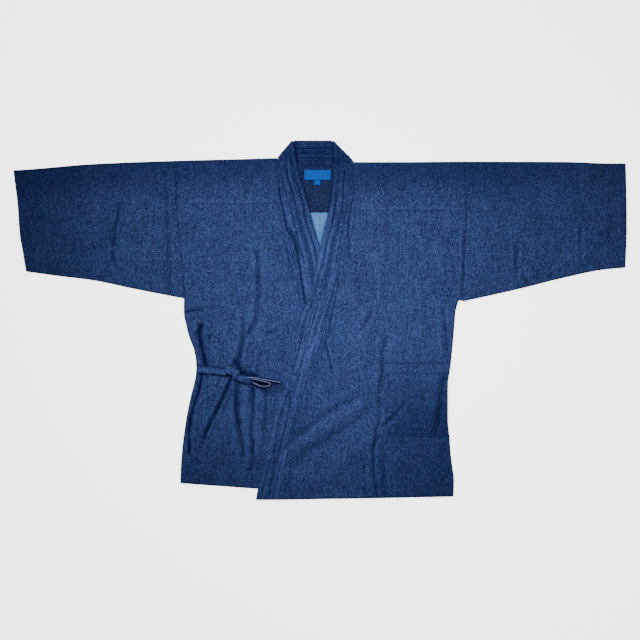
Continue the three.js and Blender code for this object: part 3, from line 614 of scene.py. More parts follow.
BACK_ROWS_RIGHT = table("outer x y", [
    [-370, 0, -385], [-190, 0, -190], [-50, 0, -50], [51, 0, 51], [200, 0, 205], [330, 0, 352],
    [349, 0, 363.2], [353, -40, 364.6], [356, -74, 365.9],
])
BACK_ROWS_LEFT = table("outer x y", [
    [-400, 0, -385], [-225, 0, -215], [-70, 0, -60], [44, 0, 51], [200, 0, 205], [320, 0, 350],
    [338, 0, 363.2], [345, 35, 361.2], [350, 62, 360.3],
])


def sample_rows(rows, step):
    """A table resampled so that its first column moves by about a step. Its own rows stay in."""
    first = list(rows.values())[0]
    key = np.concatenate([[0], np.cumsum(np.abs(np.diff(first)))])
    place = spaced(key[-1], step) * key[-1]
    clear = np.abs(place[:, None] - key[None, 1:-1]).min(1) > 0.3 * step
    place = np.sort(np.concatenate([place[clear], key[1:-1]]))
    return {name: np.interp(place, key, values) for name, values in rows.items()}


def front_heights(body):
    """Heights of a front's rows at the side and at the collar seam, from the shoulder down."""
    half, seam, low = body["half"], body["seam"], body["front_rows"]
    shoulder_y = float(along(SHOULDER, half["armhole"]["x"][-1]))
    neck_y = seam["y"][-1]
    full = {
        "outer": np.concatenate([[mix(low["outer"][0], shoulder_y, 0.985)], low["outer"]]),
        "middle": np.concatenate([[mix(low["middle"][0], neck_y, 0.985)], low["middle"]]),
    }
    return sample_rows(full, BODY_DOWN)


def place_rows(half, columns, outer_y, end_x, end_y):
    """Rows of places across one half of the body, from its outer edge."""
    x = mix(outer_edge(half, outer_y)[:, None], end_x[:, None], columns)
    y = mix(outer_y[:, None], end_y[:, None], columns)
    return x, y


def body_back(body, columns):
    """The flat back, with painted shadow of the collar inside the neck and a darker line along the middle seam.
    """
    rows = sample_rows(body["back_rows"], BACK_DOWN)
    x, y = place_rows(body["half"], columns, rows["outer"], rows["x"], rows["y"])
    shade = np.maximum(neck_shadow(x, y), 0.5 * bell(x / 1.6))
    return places(x, y, 0), places(x, y, CLOTH), np.zeros_like(shade), shade


def body_fold(body, columns):
    """The turn over the shoulder, from the back to the front."""
    half = body["half"]
    shoulder_x = half["armhole"]["x"][-1] - half["side"] * GAP / 2
    x = mix(shoulder_x, body["seam"]["x"][-1], columns)
    y = along(SHOULDER, x)
    middle = (body["underside"](x, y)[0] + CLOTH) / 2
    angle = TURN_STEPS[:, None]

    def face(radius):
        return places(x, y - middle + radius * np.cos(angle), middle + radius * np.sin(angle))

    out = face(middle)
    shade = np.full(out.shape[:2], FOLD_SHADE)
    return out, face(middle - CLOTH), shade, shade


def body_front(body, columns):
    """The front from the shoulder to the hem, with its seams, its hem and the grooves of its stitches."""
    half, seam = body["half"], body["seam"]
    heights = front_heights(body)
    x, y = place_rows(half, columns, heights["outer"], along(seam, heights["middle"]), heights["middle"])
    z, shade = body["underside"](x, y)
    beside_sleeve = y > underarm(half)
    to_armhole = np.where(beside_sleeve, np.abs(x - along(half["armhole"], y)), FAR_OFF)
    to_side = np.where(beside_sleeve, FAR_OFF, np.abs(x - along(half["side_seam"], y)))
    to_seam = np.abs(x - along(seam, y))
    to_hem = y - mix(heights["outer"][-1], heights["middle"][-1], columns)
    to_rows = [to_seam - SEAM_TOPSTITCH, to_hem - body["hem"], y - body["yoke_line"] + YOKE_LINE_DROP]

    top = z + CLOTH + ALLOWANCE_RISE * smooth(*ALLOWANCE, to_armhole)
    top = top + HEM_RISE * smooth(body["hem"] + 1, body["hem"] - 1, to_hem)
    top = top - GROOVE * sum(bell(distance / GROOVE_WIDTH) for distance in to_rows)
    top = top - 0.6 * bell(to_armhole / GROOVE_WIDTH) - 0.3 * bell(to_seam / 1.4)
    top = top - rounding(to_side, CLOTH) - 0.4 * rounding(to_hem, CLOTH)

    # A painted highlight beside the yoke's row, and painted shade along the rows of stitches, the outline, the
    # armhole and the collar seam.
    beside_yoke = bell((y - body["yoke_line"] - 2) / 3) * (1 + soft_noise(x / 5, y / 14, 33))
    shade = np.where(shade < 0.3, shade - 0.2 * beside_yoke, shade)
    deep_seam = body["seam_shade"] * smooth(340, 280, y) * smooth(*body["seam_fade"], y)
    shade = marked(shade, [
        (0.35, to_rows[0], 1.8), (0.58, to_rows[1], 1.8), (0.3, to_rows[2], 1.8),
        (OUTLINE_DARK, np.minimum(to_side, 0.75 * to_hem), OUTLINE_WIDTH), (0.35, to_armhole, 2),
        (deep_seam, to_seam, body["seam_width"]), (0.15, to_seam, 2.2),
    ])
    # painted shadow of the pocket, and painted shade beside the collar seam
    if half["side"] > 0:
        shade = deepen(shade, pocket_shadow(x, y))
        shade = shade + 0.2 * bell((to_seam - 10) / 14) * bell((y + 50) / 50)
    return places(x, y, top), places(x, y, z), shade, np.zeros_like(shade)


def body_faces(body):
    """One half of the body in one piece: back, turn over the shoulder, and front."""
    columns = spaced(BODY_WIDTH, BODY_ACROSS)[None, :]
    return joined([body_back(body, columns), body_fold(body, columns), body_front(body, columns)])


def opening_edge(x, y):
    """How far inside the neck opening a place is, from the collar's nearer free edge."""
    inside = np.minimum(x - along(UNDER_FREE_EDGE, y), along(UPPER_FREE_EDGE, y) - x)
    return np.maximum(inside, 0)


def neck_shadow(x, y):
    """Painted shadow of the collar on what lies in the neck."""
    return np.maximum(0.6 * bell(opening_edge(x, y) / 4), 0.4 * smooth(345, 362, y))


BODY_RIGHT = {
    "half": RIGHT, "seam": UNDER_SEAM, "free_edge": UNDER_FREE_EDGE, "underside": under_front,
    "front_rows": FRONT_ROWS_RIGHT, "back_rows": BACK_ROWS_RIGHT, "hem": HEM_DEPTH_UNDER,
    "yoke_line": YOKE_LINE_RIGHT, "seam_shade": 1, "seam_fade": (-60, 60), "seam_width": 4,
}
BODY_LEFT = {
    "half": LEFT, "seam": UPPER_SEAM, "free_edge": UPPER_FREE_EDGE, "underside": upper_front,
    "front_rows": FRONT_ROWS_LEFT, "back_rows": BACK_ROWS_LEFT, "hem": HEM_DEPTH_UPPER,
    "yoke_line": YOKE_LINE_LEFT, "seam_shade": 0.6, "seam_fade": (120, 240), "seam_width": 2.6,
}


# ---------- sleeves ----------
CUFF_HEM = 24
SLEEVE_LENGTH = 380
SLEEVE_DEPTH = 270
SLEEVE_MIDDLE_Y = 200


def sleeve_place(half, u, share):
    """The place on a sleeve at a share of its length from the armhole and of its width from its seam."""
    def column_x(y):
        return mix(along(half["armhole"], y), along(half["cuff"], y), u)

    x = column_x(SLEEVE_MIDDLE_Y)
    for _ in range(3):
        y = mix(along(half["sleeve_seam"], x), along(SHOULDER, x), share)
        x = column_x(y)
    return x, mix(along(half["sleeve_seam"], x), along(SHOULDER, x), share)


def sleeve_back(half, u):
    x, y = sleeve_place(half, u, np.linspace(0.02, 0.98, 12)[:, None])
    blank = np.zeros_like(x)
    return places(x, y, 0), places(x, y, CLOTH), blank, blank


def sleeve_turn(half, u, share, toward, angle):
    """Half a turn of the cloth, at the top of a sleeve or at its seam."""
    x, y = sleeve_place(half, u, share)
    middle = (UNDER_Z + CLOTH) / 2

    def face(radius):
        return places(x, y + toward * (-middle + radius * np.cos(angle)), middle + radius * np.sin(angle))

    out = face(middle)
    shade = np.full(out.shape[:2], FOLD_SHADE)
    return out, face(middle - CLOTH), shade, np.zeros_like(shade)


def sleeve_top(half, u):
    """The face of a sleeve that lies up, with its seams and the hem of its cuff."""
    x, y = sleeve_place(half, u, spaced(SLEEVE_DEPTH, FINE)[::-1][2:-2, None])
    z, shade = sleeve_front(x, y)
    to_cuff = np.abs(x - along(half["cuff"], y))
    to_armhole = np.abs(x - along(half["armhole"], y))
    to_seam = y - along(half["sleeve_seam"], x)
    top = z + CLOTH + HEM_RISE * smooth(CUFF_HEM + 1, CUFF_HEM - 1, to_cuff)
    top = top - GROOVE * bell((to_cuff - CUFF_HEM) / GROOVE_WIDTH)
    top = top - 0.9 * bell(to_armhole / GROOVE_WIDTH) - 0.4 * rounding(to_cuff, CLOTH)
    # painted shade along the cuff's row, the armhole and the outline
    shade = marked(shade, [
        (0.3, to_cuff - CUFF_HEM, 2.2), (0.35, to_armhole, 2),
        (OUTLINE_DARK, np.minimum(to_seam, to_cuff), OUTLINE_WIDTH),
    ])
    return places(x, y, top), places(x, y, z), shade, np.zeros_like(shade)


def sleeve_faces(half):
    """A sleeve in one piece: back, turn along its top, front, and turn at its seam."""
    u = spaced(SLEEVE_LENGTH, FINE)[None, :]
    angle = TURN_STEPS[:, None]
    return joined([
        sleeve_back(half, u),
        sleeve_turn(half, u, 1, 1, angle),
        sleeve_top(half, u),
        sleeve_turn(half, u, 0, -1, angle[::-1]),
    ])


# ---------- collar ----------
BAND_ROWS = (13, 28)  # rows of stitches, from the free edge
NECK_ROWS = (17, 25, 31, 40, 46)  # and behind the neck, from its top edge
NECK_LAP = 2.5  # how far the stretch behind the neck laps over the back's neck edge
NECK_OVERRUN = 6  # how far this stretch runs on into each shoulder fold
BAND_POINTS = 34
BAND_TURN = np.radians(np.linspace(84, -84, 13))
BAND_MIDDLE = BAND_THICKNESS / 2


def band_shares():
    edge = np.array([0, 0.006, 0.016, 0.03])
    return np.concatenate([edge, np.linspace(0.05, 0.95, BAND_POINTS), 1 - edge[::-1]])


def band_profile(share, width, place, rows, depth=0.5):
    """Heights of the band's two faces, and the visible one's painted shade. Rows are measured from its free
    edge.
    """
    from_seam, from_free = share * width, (1 - share) * width
    inset = np.maximum(rounding(from_free, BAND_MIDDLE), rounding(from_seam, 0.5))
    inner_part = smooth(0, 5, from_free) * smooth(0, 5, from_seam)
    pucker = soft_noise((from_free + 0.7 * place) / 10 + 40, (place - 0.7 * from_free) / 5, 77) * inner_part
    streak = soft_noise(from_free / 2.8 + 20, place / 80, 78) * inner_part
    grooves = 0.8 * smooth(8, 0, from_seam)
    lines = np.zeros(np.broadcast(share, width, place).shape)
    for i, row in enumerate(rows):
        to_row = from_free - row - 1.4 * soft_noise(place / 34, i, 79)
        fade = depth + 0.3 * soft_noise(place / 9, i, 80)
        grooves = grooves + 0.55 * bell(to_row / GROOVE_WIDTH)
        lines = np.maximum(lines, fade * bell(to_row / 2))
    top = BAND_THICKNESS - inset + 0.3 * pucker + 0.3 * streak - grooves
    # painted light and shade on the puckers; the streaks are part yarn tone, part painted light on their ridges
    painted_light_and_tone = 0.01 - 0.26 * np.maximum(pucker, 0) + 0.16 * np.maximum(-pucker, 0) - 0.46 * streak
    return top, inset, np.where(lines > 0.1, lines, painted_light_and_tone)


def band_edges(body):
    """The collar's seam and free edge down one front, and its width."""
    seam_y = front_heights(body)["middle"]
    free_y = seam_y + along(BAND_SLANT, seam_y)
    seam_x, free_x = along(body["seam"], seam_y), along(body["free_edge"], free_y)
    return seam_x, seam_y, free_x, free_y, np.hypot(free_x - seam_x, free_y - seam_y)


def band_stretch(body, flat_z=None):
    """Sections of the collar down one front, from the shoulder: the grids and shades of its two faces."""
    seam_x, seam_y, free_x, free_y, width = (values[:, None] for values in band_edges(body))
    share = band_shares()[None, :]
    x, y = mix(seam_x, free_x, share), mix(seam_y, free_y, share)
    top, bottom, lines = band_profile(share, width, y, BAND_ROWS, 0.65)
    if flat_z is None:
        z, shade = body["underside"](x, y)
    else:
        z, shade = flat_z, twist_shade(share * width, y)
    # painted light on the collar's lower stretch, painted shade towards the shoulder and beside the seam
    painted_light_and_tone = 0.14 * bell((y + 80) / 100) + 0.1 * bell((y - 10) / 45)
    lines = lines + 0.26 * smooth(120, 280, y) + 0.16 * smooth(280, 360, y) - painted_light_and_tone
    lines = lines + 0.1 * bell(share * width / 14) * bell((y + 20) / 80)
    shade = np.where(shade > 0.08, np.maximum(shade, lines), lines)
    return places(x, y, z + top), places(x, y, z + bottom), shade, np.zeros_like(x)


def twist_shade(from_seam, y):
    """Painted shade beside the under collar's seam over a short stretch, for a turn of the band that its shape
    leaves out.
    """
    return 0.6 * smooth(11, 5, from_seam) * smooth(140, 160, y) * smooth(222, 205, y)


def shoulder_turn(fold, outward):
    """Half a turn of the band about its shoulder fold, from the front to the stretch behind the neck."""
    middle = (BAND_Z + BAND_THICKNESS) / 2
    seam, free = np.array(fold["seam"], float), np.array(fold["free"], float)
    run = free - seam
    length = np.hypot(*run)
    normal = np.array([-run[1], run[0]]) / length * outward
    angle = BAND_TURN[:, None, None]
    share = band_shares()[None, :, None]
    base = mix(seam, free, share)
    top, bottom, lines = band_profile(share, length, np.zeros_like(share), BAND_ROWS)

    def face(radius):
        reach = radius * np.cos(angle) - middle
        xy = base + normal * reach
        z = np.broadcast_to(middle + radius * np.sin(angle), xy.shape[:2] + (1,))
        return np.concatenate([xy, z], -1)

    radius_out = middle - (BAND_THICKNESS - top)
    radius_in = middle - BAND_THICKNESS + bottom
    # painted shade over the turn, deepest at its outermost part
    shade = np.maximum(lines[..., 0], 0) + 0.35 + 0.3 * np.cos(angle[..., 0]) ** 4
    return face(radius_out), face(radius_in), shade, np.zeros_like(shade)


def behind_neck():
    """The stretch behind the neck is turned over: the face that is inside on the fronts shows here."""
    first, last = BEHIND_NECK["seam"][0], BEHIND_NECK["seam"][-1]
    seam_x = np.linspace(first - NECK_OVERRUN, last + NECK_OVERRUN, 60)
    free_x = along(BEHIND_NECK, seam_x)
    free_x = np.where(seam_x < first, mix(-56, -40, (seam_x - seam_x[0]) / NECK_OVERRUN), free_x)
    free_x = np.where(seam_x > last, mix(20, 24, (seam_x - last) / NECK_OVERRUN), free_x)
    seam_y = along(NECK_SEAM, seam_x) - NECK_LAP
    share = band_shares()[None, :]
    x = mix(seam_x[:, None], free_x[:, None], share)
    y = mix(seam_y[:, None], NECK_TOP, share)
    width = (NECK_TOP - seam_y)[:, None]
    top, bottom, lines = band_profile(share, width, x, NECK_ROWS, 0.8)
    lower = np.maximum(bottom, (CLOTH + 0.1) * smooth(NECK_LAP + 3, NECK_LAP + 1, share * width))
    upper = np.maximum(top, lower + 0.5)
    # painted shadow of the fronts' free edges, and painted shade over the whole stretch and along its top edge
    shade = np.maximum(lines, 0.75 * bell(opening_edge(x, y) / 6))
    top_edge = OUTLINE_DARK * bell((NECK_TOP - y) / OUTLINE_WIDTH)
    shade = np.maximum(shade + 0.32, np.maximum(0.35, top_edge))
    return places(x, y, lower), places(x, y, upper), np.zeros_like(x), shade


def collar_faces():
    """The collar in one piece, from its end on the under front to its end on the upper one."""
    return joined([
        [grid[::-1] for grid in band_stretch(BODY_RIGHT, BAND_Z)],
        shoulder_turn(FOLD_RIGHT, 1),
        behind_neck(),
        [grid[::-1] for grid in shoulder_turn(FOLD_LEFT, -1)],
        band_stretch(BODY_LEFT),
    ])


# ---------- pieces in the neck ----------
LINING_ROWS = table("y left right", [[248, -78, 66], [300, -80, 68], [345, -82, 66], [364, -80, 62]])
LABEL = {"x": -5.5, "y": 334.5, "width": 61, "height": 23}
TAB = {"x": -6, "y": 316.5, "width": 14.5, "height": 11}
LINING_HEM = 2.5


def lining_top(x):
    return along(NECK_SEAM, x) - NECK_LAP - 0.4


def flat_faces(rows, z, thickness, step, wave=0, top_edge=None):
    """A piece that lies flat, between its rows' left and right ends. A wave gives it loft and a hem."""
    run = rows["y"][-1] - rows["y"][0]
    heights = spaced(run, step) * run + rows["y"][0]
    left, right = np.interp(heights, rows["y"], rows["left"]), np.interp(heights, rows["y"], rows["right"])
    share = spaced(float(np.mean(right - left)), step)[None, :]
    x = mix(left[:, None], right[:, None], share)
    y = np.broadcast_to(heights[:, None], x.shape)
    if top_edge is not None:
        room = top_edge(x) - heights[0]
        y = heights[0] + (y - heights[0]) * np.minimum(1, room / (heights[-1] - heights[0]))
    lift = wave * (1 + soft_noise(x / 18, y / 24, 5)) / 2
    from_end = np.minimum(y - heights[0], y[-1:] - y)
    edge = np.minimum(np.minimum(x - left[:, None], right[:, None] - x), from_end)
    top = z + thickness + lift - rounding(edge, thickness / 2)
    # painted shadow of the collar and painted shade along the lining's hem; painted shade at a tag's edges
    if wave:
        shade = np.maximum(neck_shadow(x, y), 0.3 * bell((y - heights[0] - LINING_HEM) / 1.2))
    else:
        shade = 0.4 * bell(edge / 0.9)
    return places(x, y, top), places(x, y, z + lift * 0.5), shade, np.zeros_like(x)


def tag_rows(tag):
    left, right = tag["x"] - tag["width"] / 2, tag["x"] + tag["width"] / 2
    low, high = tag["y"] - tag["height"] / 2, tag["y"] + tag["height"] / 2
    return table("y left right", [[low, left, right], [high, left, right]])


# ---------- pocket ----------
POCKET = {"inner": 148, "top": -99, "bottom": -268, "hem": 24}
POCKET_WIDTH = 148
POCKET_EDGE_ROW = 2.5  # from the pocket's edge to its stitches


def pocket_faces():
    """The pocket, sewn down at its bottom and inner edge, with its mouth a little open."""
    depth = POCKET["top"] - POCKET["bottom"]
    heights = POCKET["top"] - depth * spaced(depth, FINE)
    outer = along(SIDE_LEFT, heights) - 0.5
    share = spaced(POCKET_WIDTH, FINE)[None, :]
    x = mix(outer[:, None], POCKET["inner"], share)
    y = np.broadcast_to(heights[:, None], x.shape)
    z, shade = upper_front(x, y)
    from_top, from_bottom = POCKET["top"] - y, y - POCKET["bottom"]
    from_inner, from_side = x - POCKET["inner"], outer[:, None] - x
    edge = np.minimum(np.minimum(from_top, from_bottom), from_inner)
    mouth = smooth(30, 0, from_top) * smooth(0, 30, from_inner) * smooth(0, 25, from_side)
    sewn = smooth(16, 0, np.minimum(from_bottom, from_inner))
    bottom = z + CLOTH + 0.1 + (GAP + 0.1) * (1 - sewn) + mouth
    top = bottom + CLOTH - 0.85 * sewn - rounding(edge, 0.15)
    top = top + 0.3 * smooth(POCKET["hem"] + 1, POCKET["hem"] - 1, from_top)
    # a little darker below the hem, and painted shade along the rows, at the mouth and at the outer edge
    shade = shade + 0.21 * (shade < 0.4) * smooth(POCKET["hem"], POCKET["hem"] + 30, from_top)
    to_rows = [from_top - POCKET["hem"], from_inner - POCKET_EDGE_ROW, from_bottom - POCKET_EDGE_ROW]
    top = top - GROOVE * sum(bell(distance / 1.4) for distance in to_rows)
    top = np.maximum(top, bottom + 0.15)
    shade = marked(shade, [
        (0.5, to_rows[0], 1.7), (0.12, to_rows[1], 1.7), (0.05, to_rows[2], 1.7), (0.7, from_top, 1.2),
        (OUTLINE_DARK, from_side, OUTLINE_WIDTH),
    ])
    return places(x, y, top), places(x, y, bottom), shade, np.zeros_like(x)


def pocket_shadow(x, y):
    """Painted shadow of the pocket on the front, deeper above its mouth."""
    outside = np.maximum(POCKET["inner"] - x, np.maximum(y - POCKET["top"], POCKET["bottom"] - y))
    above = smooth(-POCKET["hem"], 0, y - POCKET["top"])
    return np.where(outside > 0, mix(0.03, 0.6, above) * bell((outside - 0.5) / 1.4), 0)


# ---------- ties ----------
TIE_STEP = 1.2  # spacing of a tie's points
TIE_STITCH = 1.8  # from a tie's edge to its row of stitches
LUMP_FOLDS = (0.75, 1.25, 1.8, 2.4)  # angles round a lump of the knot at which its folds lie


def run_length(points):
    """How far along a line of points each of them is."""
    return np.concatenate([[0], np.cumsum(np.linalg.norm(np.diff(points, axis=0), axis=1))])


def tie_faces(rows):
    """A doubled strip of cloth through its rows, twisting with their lean."""
    key = run_length(places(rows["x"], rows["y"], rows["z"]))
    place = np.linspace(0, key[-1], int(key[-1] / TIE_STEP) + 2)
    smooth_rows = {name: along({"key": key, "value": rows[name]}, place) for name in rows}
    middle = places(smooth_rows["x"], smooth_rows["y"], smooth_rows["z"])
    run = np.gradient(middle, axis=0)
    run /= np.linalg.norm(run, axis=1, keepdims=True)
    level = places(-run[:, 1], run[:, 0], 0.0)
    level /= np.linalg.norm(level, axis=1, keepdims=True)
    lean = np.radians(smooth_rows["lean"])[:, None]
    across = level * np.cos(lean) + np.cross(run, level) * np.sin(lean)
    up = np.cross(run, across)
    share = np.concatenate([[0, 0.02, 0.06], np.linspace(0.12, 0.88, 9), [0.94, 0.98, 1]])[None, :, None]
    width = smooth_rows["width"][:, None, None]
    edge = np.minimum(share, 1 - share) * width
    inset = rounding(edge, TIE_THICKNESS / 2)
    stitch = 0.25 * bell((edge - TIE_STITCH) / 0.7)
    half = TIE_THICKNESS / 2 - inset - stitch * (inset < 0.3)
    base = middle[:, None, :] + across[:, None, :] * (share - 0.5) * width
    out = base + up[:, None, :] * half
    inner = base - up[:, None, :] * half
    # painted shade along the stitches, a painted highlight over the rest, and a strong painted highlight on the
    # top edge of a strip that stands on its edge
    seam = 0.45 * bell((edge - TIE_STITCH) / 0.9)[..., 0] - 0.2
    upright = smooth(40, 75, smooth_rows["lean"])[:, None]
    lit_edge = upright * smooth(0.8, 0.92, share[..., 0])
    shade = seam * (1 - lit_edge) - 2.0 * lit_edge
    return out, inner, shade, shade


def squarish(value):
    return np.sign(value) * np.abs(value) ** 0.85


def lump_grid(x, y, z, length, width, height, lean, seed):
    """One lump of pulled cloth with small folds along it, and painted shade in the folds."""
    share = np.linspace(0, 1, 44)[:, None]
    angle = np.linspace(0, 2 * math.pi, 73)[None, :-1]
    end = np.clip(1 - np.abs(2 * share - 1) ** 3.2, 0.02, 1) ** 0.5
    swell = 1 + 0.07 * soft_noise(share * 4 + 1.5 * np.cos(angle), 9 + 1.5 * np.sin(angle), seed)
    folds = np.zeros((share.shape[0], angle.shape[1]))
    for middle in LUMP_FOLDS:
        sway = 0.3 * soft_noise(share * 3, middle * 7, seed + 1)
        folds = folds + bell((angle - middle - sway) / 0.11) * smooth(0, 0.2, share) * smooth(1, 0.8, share)
    radius = end * swell * (1 - 0.1 * folds)
    across = squarish(np.cos(angle)) * width / 2 * radius
    up = squarish(np.sin(angle)) * height / 2 * radius
    run = np.broadcast_to((share - 0.5) * length, across.shape)
    c, s = math.cos(math.radians(lean)), math.sin(math.radians(lean))
    grid = places(x + run * c - across * s, y + run * s + across * c, z + up)
    # painted shade underneath and at the ends, and a painted highlight over the whole lump
    low = 0.45 * smooth(0.2, -0.3, np.sin(angle)) + 0.1 * smooth(0.5, 0.15, end)
    return grid, np.maximum(np.minimum(0.75 * folds, 0.8), low) - 0.25


def add_knot(material):
    vertices, faces, shades = [], [], []
    start = 0
    for seed, lump in enumerate(zip(*KNOT_LUMPS.values())):
        grid, shade = lump_grid(*lump, seed + 90)
        rows, columns = grid.shape[:2]
        vertices += [grid.reshape(-1, 3), grid[0].mean(0)[None], grid[-1].mean(0)[None]]
        # painted shade at the middle of each end
        shades += [shade.reshape(-1), [0.5, 0.5]]
        r, c = np.meshgrid(np.arange(rows - 1), np.arange(columns), indexing="ij")
        a, b = start + r * columns + c, start + r * columns + (c + 1) % columns
        faces += np.stack([a, b, b + columns, a + columns], -1).reshape(-1, 4).tolist()
        first, last = start + rows * columns, start + rows * columns + 1
        c = np.arange(columns)
        around = (c + 1) % columns
        end = start + (rows - 1) * columns
        faces += np.stack([np.full(columns, first), start + around, start + c], -1).tolist()
        faces += np.stack([np.full(columns, last), end + c, end + around], -1).tolist()
        start = last + 1
    return new_object("knot_cloth", np.concatenate(vertices), faces, [material], shade=np.concatenate(shades))


# ---------- stitches ----------
STITCH = {"length": 3.0, "pitch": 3.9, "width": 0.75, "height": 0.34}
SUNK, ON_HEM = 0.05, 0.1  # height of the thread above the cloth's own, in a groove and on a doubled hem
# Rings of three points along a stitch: the share of its length, their size, and how high the top one is.
STITCH_RINGS = [(0, 0.25, -0.35), (0.2, 0.9, 0.6), (0.5, 1, 1), (0.8, 0.9, 0.6), (1, 0.25, -0.35)]


def stitches(name, routes, material):
    """One mesh of small thread stitches along routes of points, each with a height for every point."""
    starts, ends = [], []
    for route in routes:
        key = run_length(route[:, :2])
        first = np.arange(1.0, key[-1] - STITCH["length"], STITCH["pitch"])
        for place, store in ((first, starts), (first + STITCH["length"], ends)):
            store.append(np.stack([np.interp(place, key, route[:, i]) for i in range(3)], -1))
    start, end = np.concatenate(starts), np.concatenate(ends)
    run = end - start
    side = places(-run[:, 1], run[:, 0], 0.0)
    side /= np.linalg.norm(side, axis=1, keepdims=True)
    up = np.array([0, 0, 1.0])
    rings = []
    for share, size, lift in STITCH_RINGS:
        centre = start + run * share
        half, rise = side * STITCH["width"] / 2 * size, up * STITCH["height"]
        rings += [centre - half - rise * 0.4, centre + rise * lift, centre + half - rise * 0.4]
    vertices = np.stack(rings, 1).reshape(-1, 3)
    faces = []
    for ring in range(len(STITCH_RINGS) - 1):
        for i in range(3):
            a, b = ring * 3 + i, ring * 3 + (i + 1) % 3
            faces.append([a, b, b + 3, a + 3])
    last = 3 * (len(STITCH_RINGS) - 1)
    offsets = (np.arange(len(start)) * 3 * len(STITCH_RINGS))[:, None, None]
    quads = (np.array(faces)[None] + offsets).reshape(-1, 4).tolist()
    caps = (np.array([[2, 1, 0], [last, last + 1, last + 2]])[None] + offsets).reshape(-1, 3).tolist()
    return new_object(name, vertices, quads + caps, [material])


def on_surface(x, y, underside, lift):
    x, y = np.broadcast_arrays(x, y)
    return places(x, y, underside(x, y)[0] + lift)


def band_row(body, row, flat_z=None):
    seam_x, seam_y, free_x, free_y, width = band_edges(body)
    share = 1 - row / width
    x, y = mix(seam_x, free_x, share), mix(seam_y, free_y, share)
    height = BAND_THICKNESS - 0.4
    if flat_z is not None:
        return places(x, y, flat_z + height)
    return on_surface(x, y, body["underside"], height)


def front_row(body, inset_from_hem):
    heights = front_heights(body)
    start_x = float(outer_edge(body["half"], heights["outer"][-1]))
    end_x = float(along(body["seam"], heights["middle"][-1]))
    share = np.linspace(0.01, 0.99, 140)
    x = mix(start_x, end_x, share)
    y = mix(heights["outer"][-1], heights["middle"][-1], share) + inset_from_hem
    return on_surface(x, y, body["underside"], CLOTH + ON_HEM)


def seam_row(body, offset):
    heights = front_heights(body)["middle"][2:-2]
    x = along(body["seam"], heights) + body["half"]["side"] * offset
    return on_surface(x, heights, body["underside"], CLOTH + SUNK)


def yoke_row(body):
    y = body["yoke_line"]
    armhole, seam = float(along(body["half"]["armhole"], y)), float(along(body["seam"], y))
    x = np.linspace(armhole - body["half"]["side"] * 3, seam + body["half"]["side"] * 3, 100)
    return on_surface(x, y, body["underside"], CLOTH + SUNK)


def armhole_row(body):
    half = body["half"]
    y = np.linspace(underarm(half) + 4, float(half["armhole"]["y"][-1]) - 3, 80)
    return on_surface(along(half["armhole"], y) - half["side"] * 2, y, body["underside"], CLOTH - 0.1)


def cuff_row(half):
    y = np.linspace(float(half["cuff"]["y"][0]) + 4, float(half["cuff"]["y"][-1]) - 4, 80)
    x = along(half["cuff"], y) - half["side"] * CUFF_HEM
    return on_surface(x, y, sleeve_front, CLOTH + ON_HEM)


def pocket_rows():
    inner, top, bottom = POCKET["inner"], POCKET["top"], POCKET["bottom"]
    side = float(along(SIDE_LEFT, -180)) - 4
    across = np.linspace(inner + POCKET_EDGE_ROW, side, 60)
    down = np.linspace(top - 2, bottom + POCKET_EDGE_ROW, 60)
    on_hem, on_edge = 2 * CLOTH + GAP + 0.25, 2 * CLOTH - 0.75
    return [
        on_surface(across, top - POCKET["hem"], upper_front, on_hem),
        on_surface(across, bottom + POCKET_EDGE_ROW, upper_front, on_edge),
        on_surface(inner + POCKET_EDGE_ROW, down, upper_front, on_edge),
    ]


def neck_rows():
    x = np.linspace(-50, 34, 40)
    return [places(x, NECK_TOP - row, BAND_THICKNESS - 0.3) for row in NECK_ROWS]


def label_rows():
    reach = LABEL["width"] / 2 - 1.5
    y = np.linspace(LABEL["y"] - 9, LABEL["y"] + 9, 12)
    return [places(LABEL["x"] + side * reach, y, LABEL_Z + LABEL_THICKNESS) for side in (-1, 1)]


def body_routes(body):
    return [front_row(body, body["hem"]), seam_row(body, SEAM_TOPSTITCH), yoke_row(body), armhole_row(body)]


# ---------- materials ----------
def node(tree, kind, **settings):
    made = tree.nodes.new("ShaderNode" + kind)
    for key, value in settings.items():
        if key.startswith("in_"):
            made.inputs[key[3:].replace("_", " ")].default_value = value
        else:
            setattr(made, key, value)
    return made


def stretched_noise(tree, coords, scale, stretch, detail=2.0, roughness=0.6):
    mapping = node(tree, "Mapping")
    mapping.inputs["Scale"].default_value = stretch
    tree.links.new(coords, mapping.inputs["Vector"])
    noise = node(tree, "TexNoise", in_Scale=scale, in_Detail=detail, in_Roughness=roughness)
    tree.links.new(mapping.outputs["Vector"], noise.inputs["Vector"])
    return noise.outputs["Fac"]


def ramp(tree, value, low, high):
    made = node(tree, "MapRange", interpolation_type="SMOOTHSTEP")
    made.inputs["From Min"].default_value = low
    made.inputs["From Max"].default_value = high
    tree.links.new(value, made.inputs["Value"])
    return made.outputs["Result"]


def arithmetic(tree, operation, a, b):
    made = node(tree, "Math", operation=operation)
    for i, value in enumerate((a, b)):
        if isinstance(value, (int, float)):
            made.inputs[i].default_value = value
        else:
            tree.links.new(value, made.inputs[i])
    return made.outputs[0]


def blend_colour(tree, factor, a, b, blend_type="MIX"):
    made = node(tree, "Mix", data_type="RGBA", blend_type=blend_type)
    for socket, value in ((made.inputs["Factor"], factor), (made.inputs[6], a), (made.inputs[7], b)):
        if isinstance(value, (int, float)):
            socket.default_value = value
        elif isinstance(value, tuple):
            socket.default_value = (*value, 1)
        else:
            tree.links.new(value, socket)
    return made.outputs[2]


def weighted(tree, parts):
    """Sum of sockets, each times its weight."""
    total = None
    for socket, weight in parts:
        term = arithmetic(tree, "MULTIPLY", socket, weight)
        total = term if total is None else arithmetic(tree, "ADD", total, term)
    return total


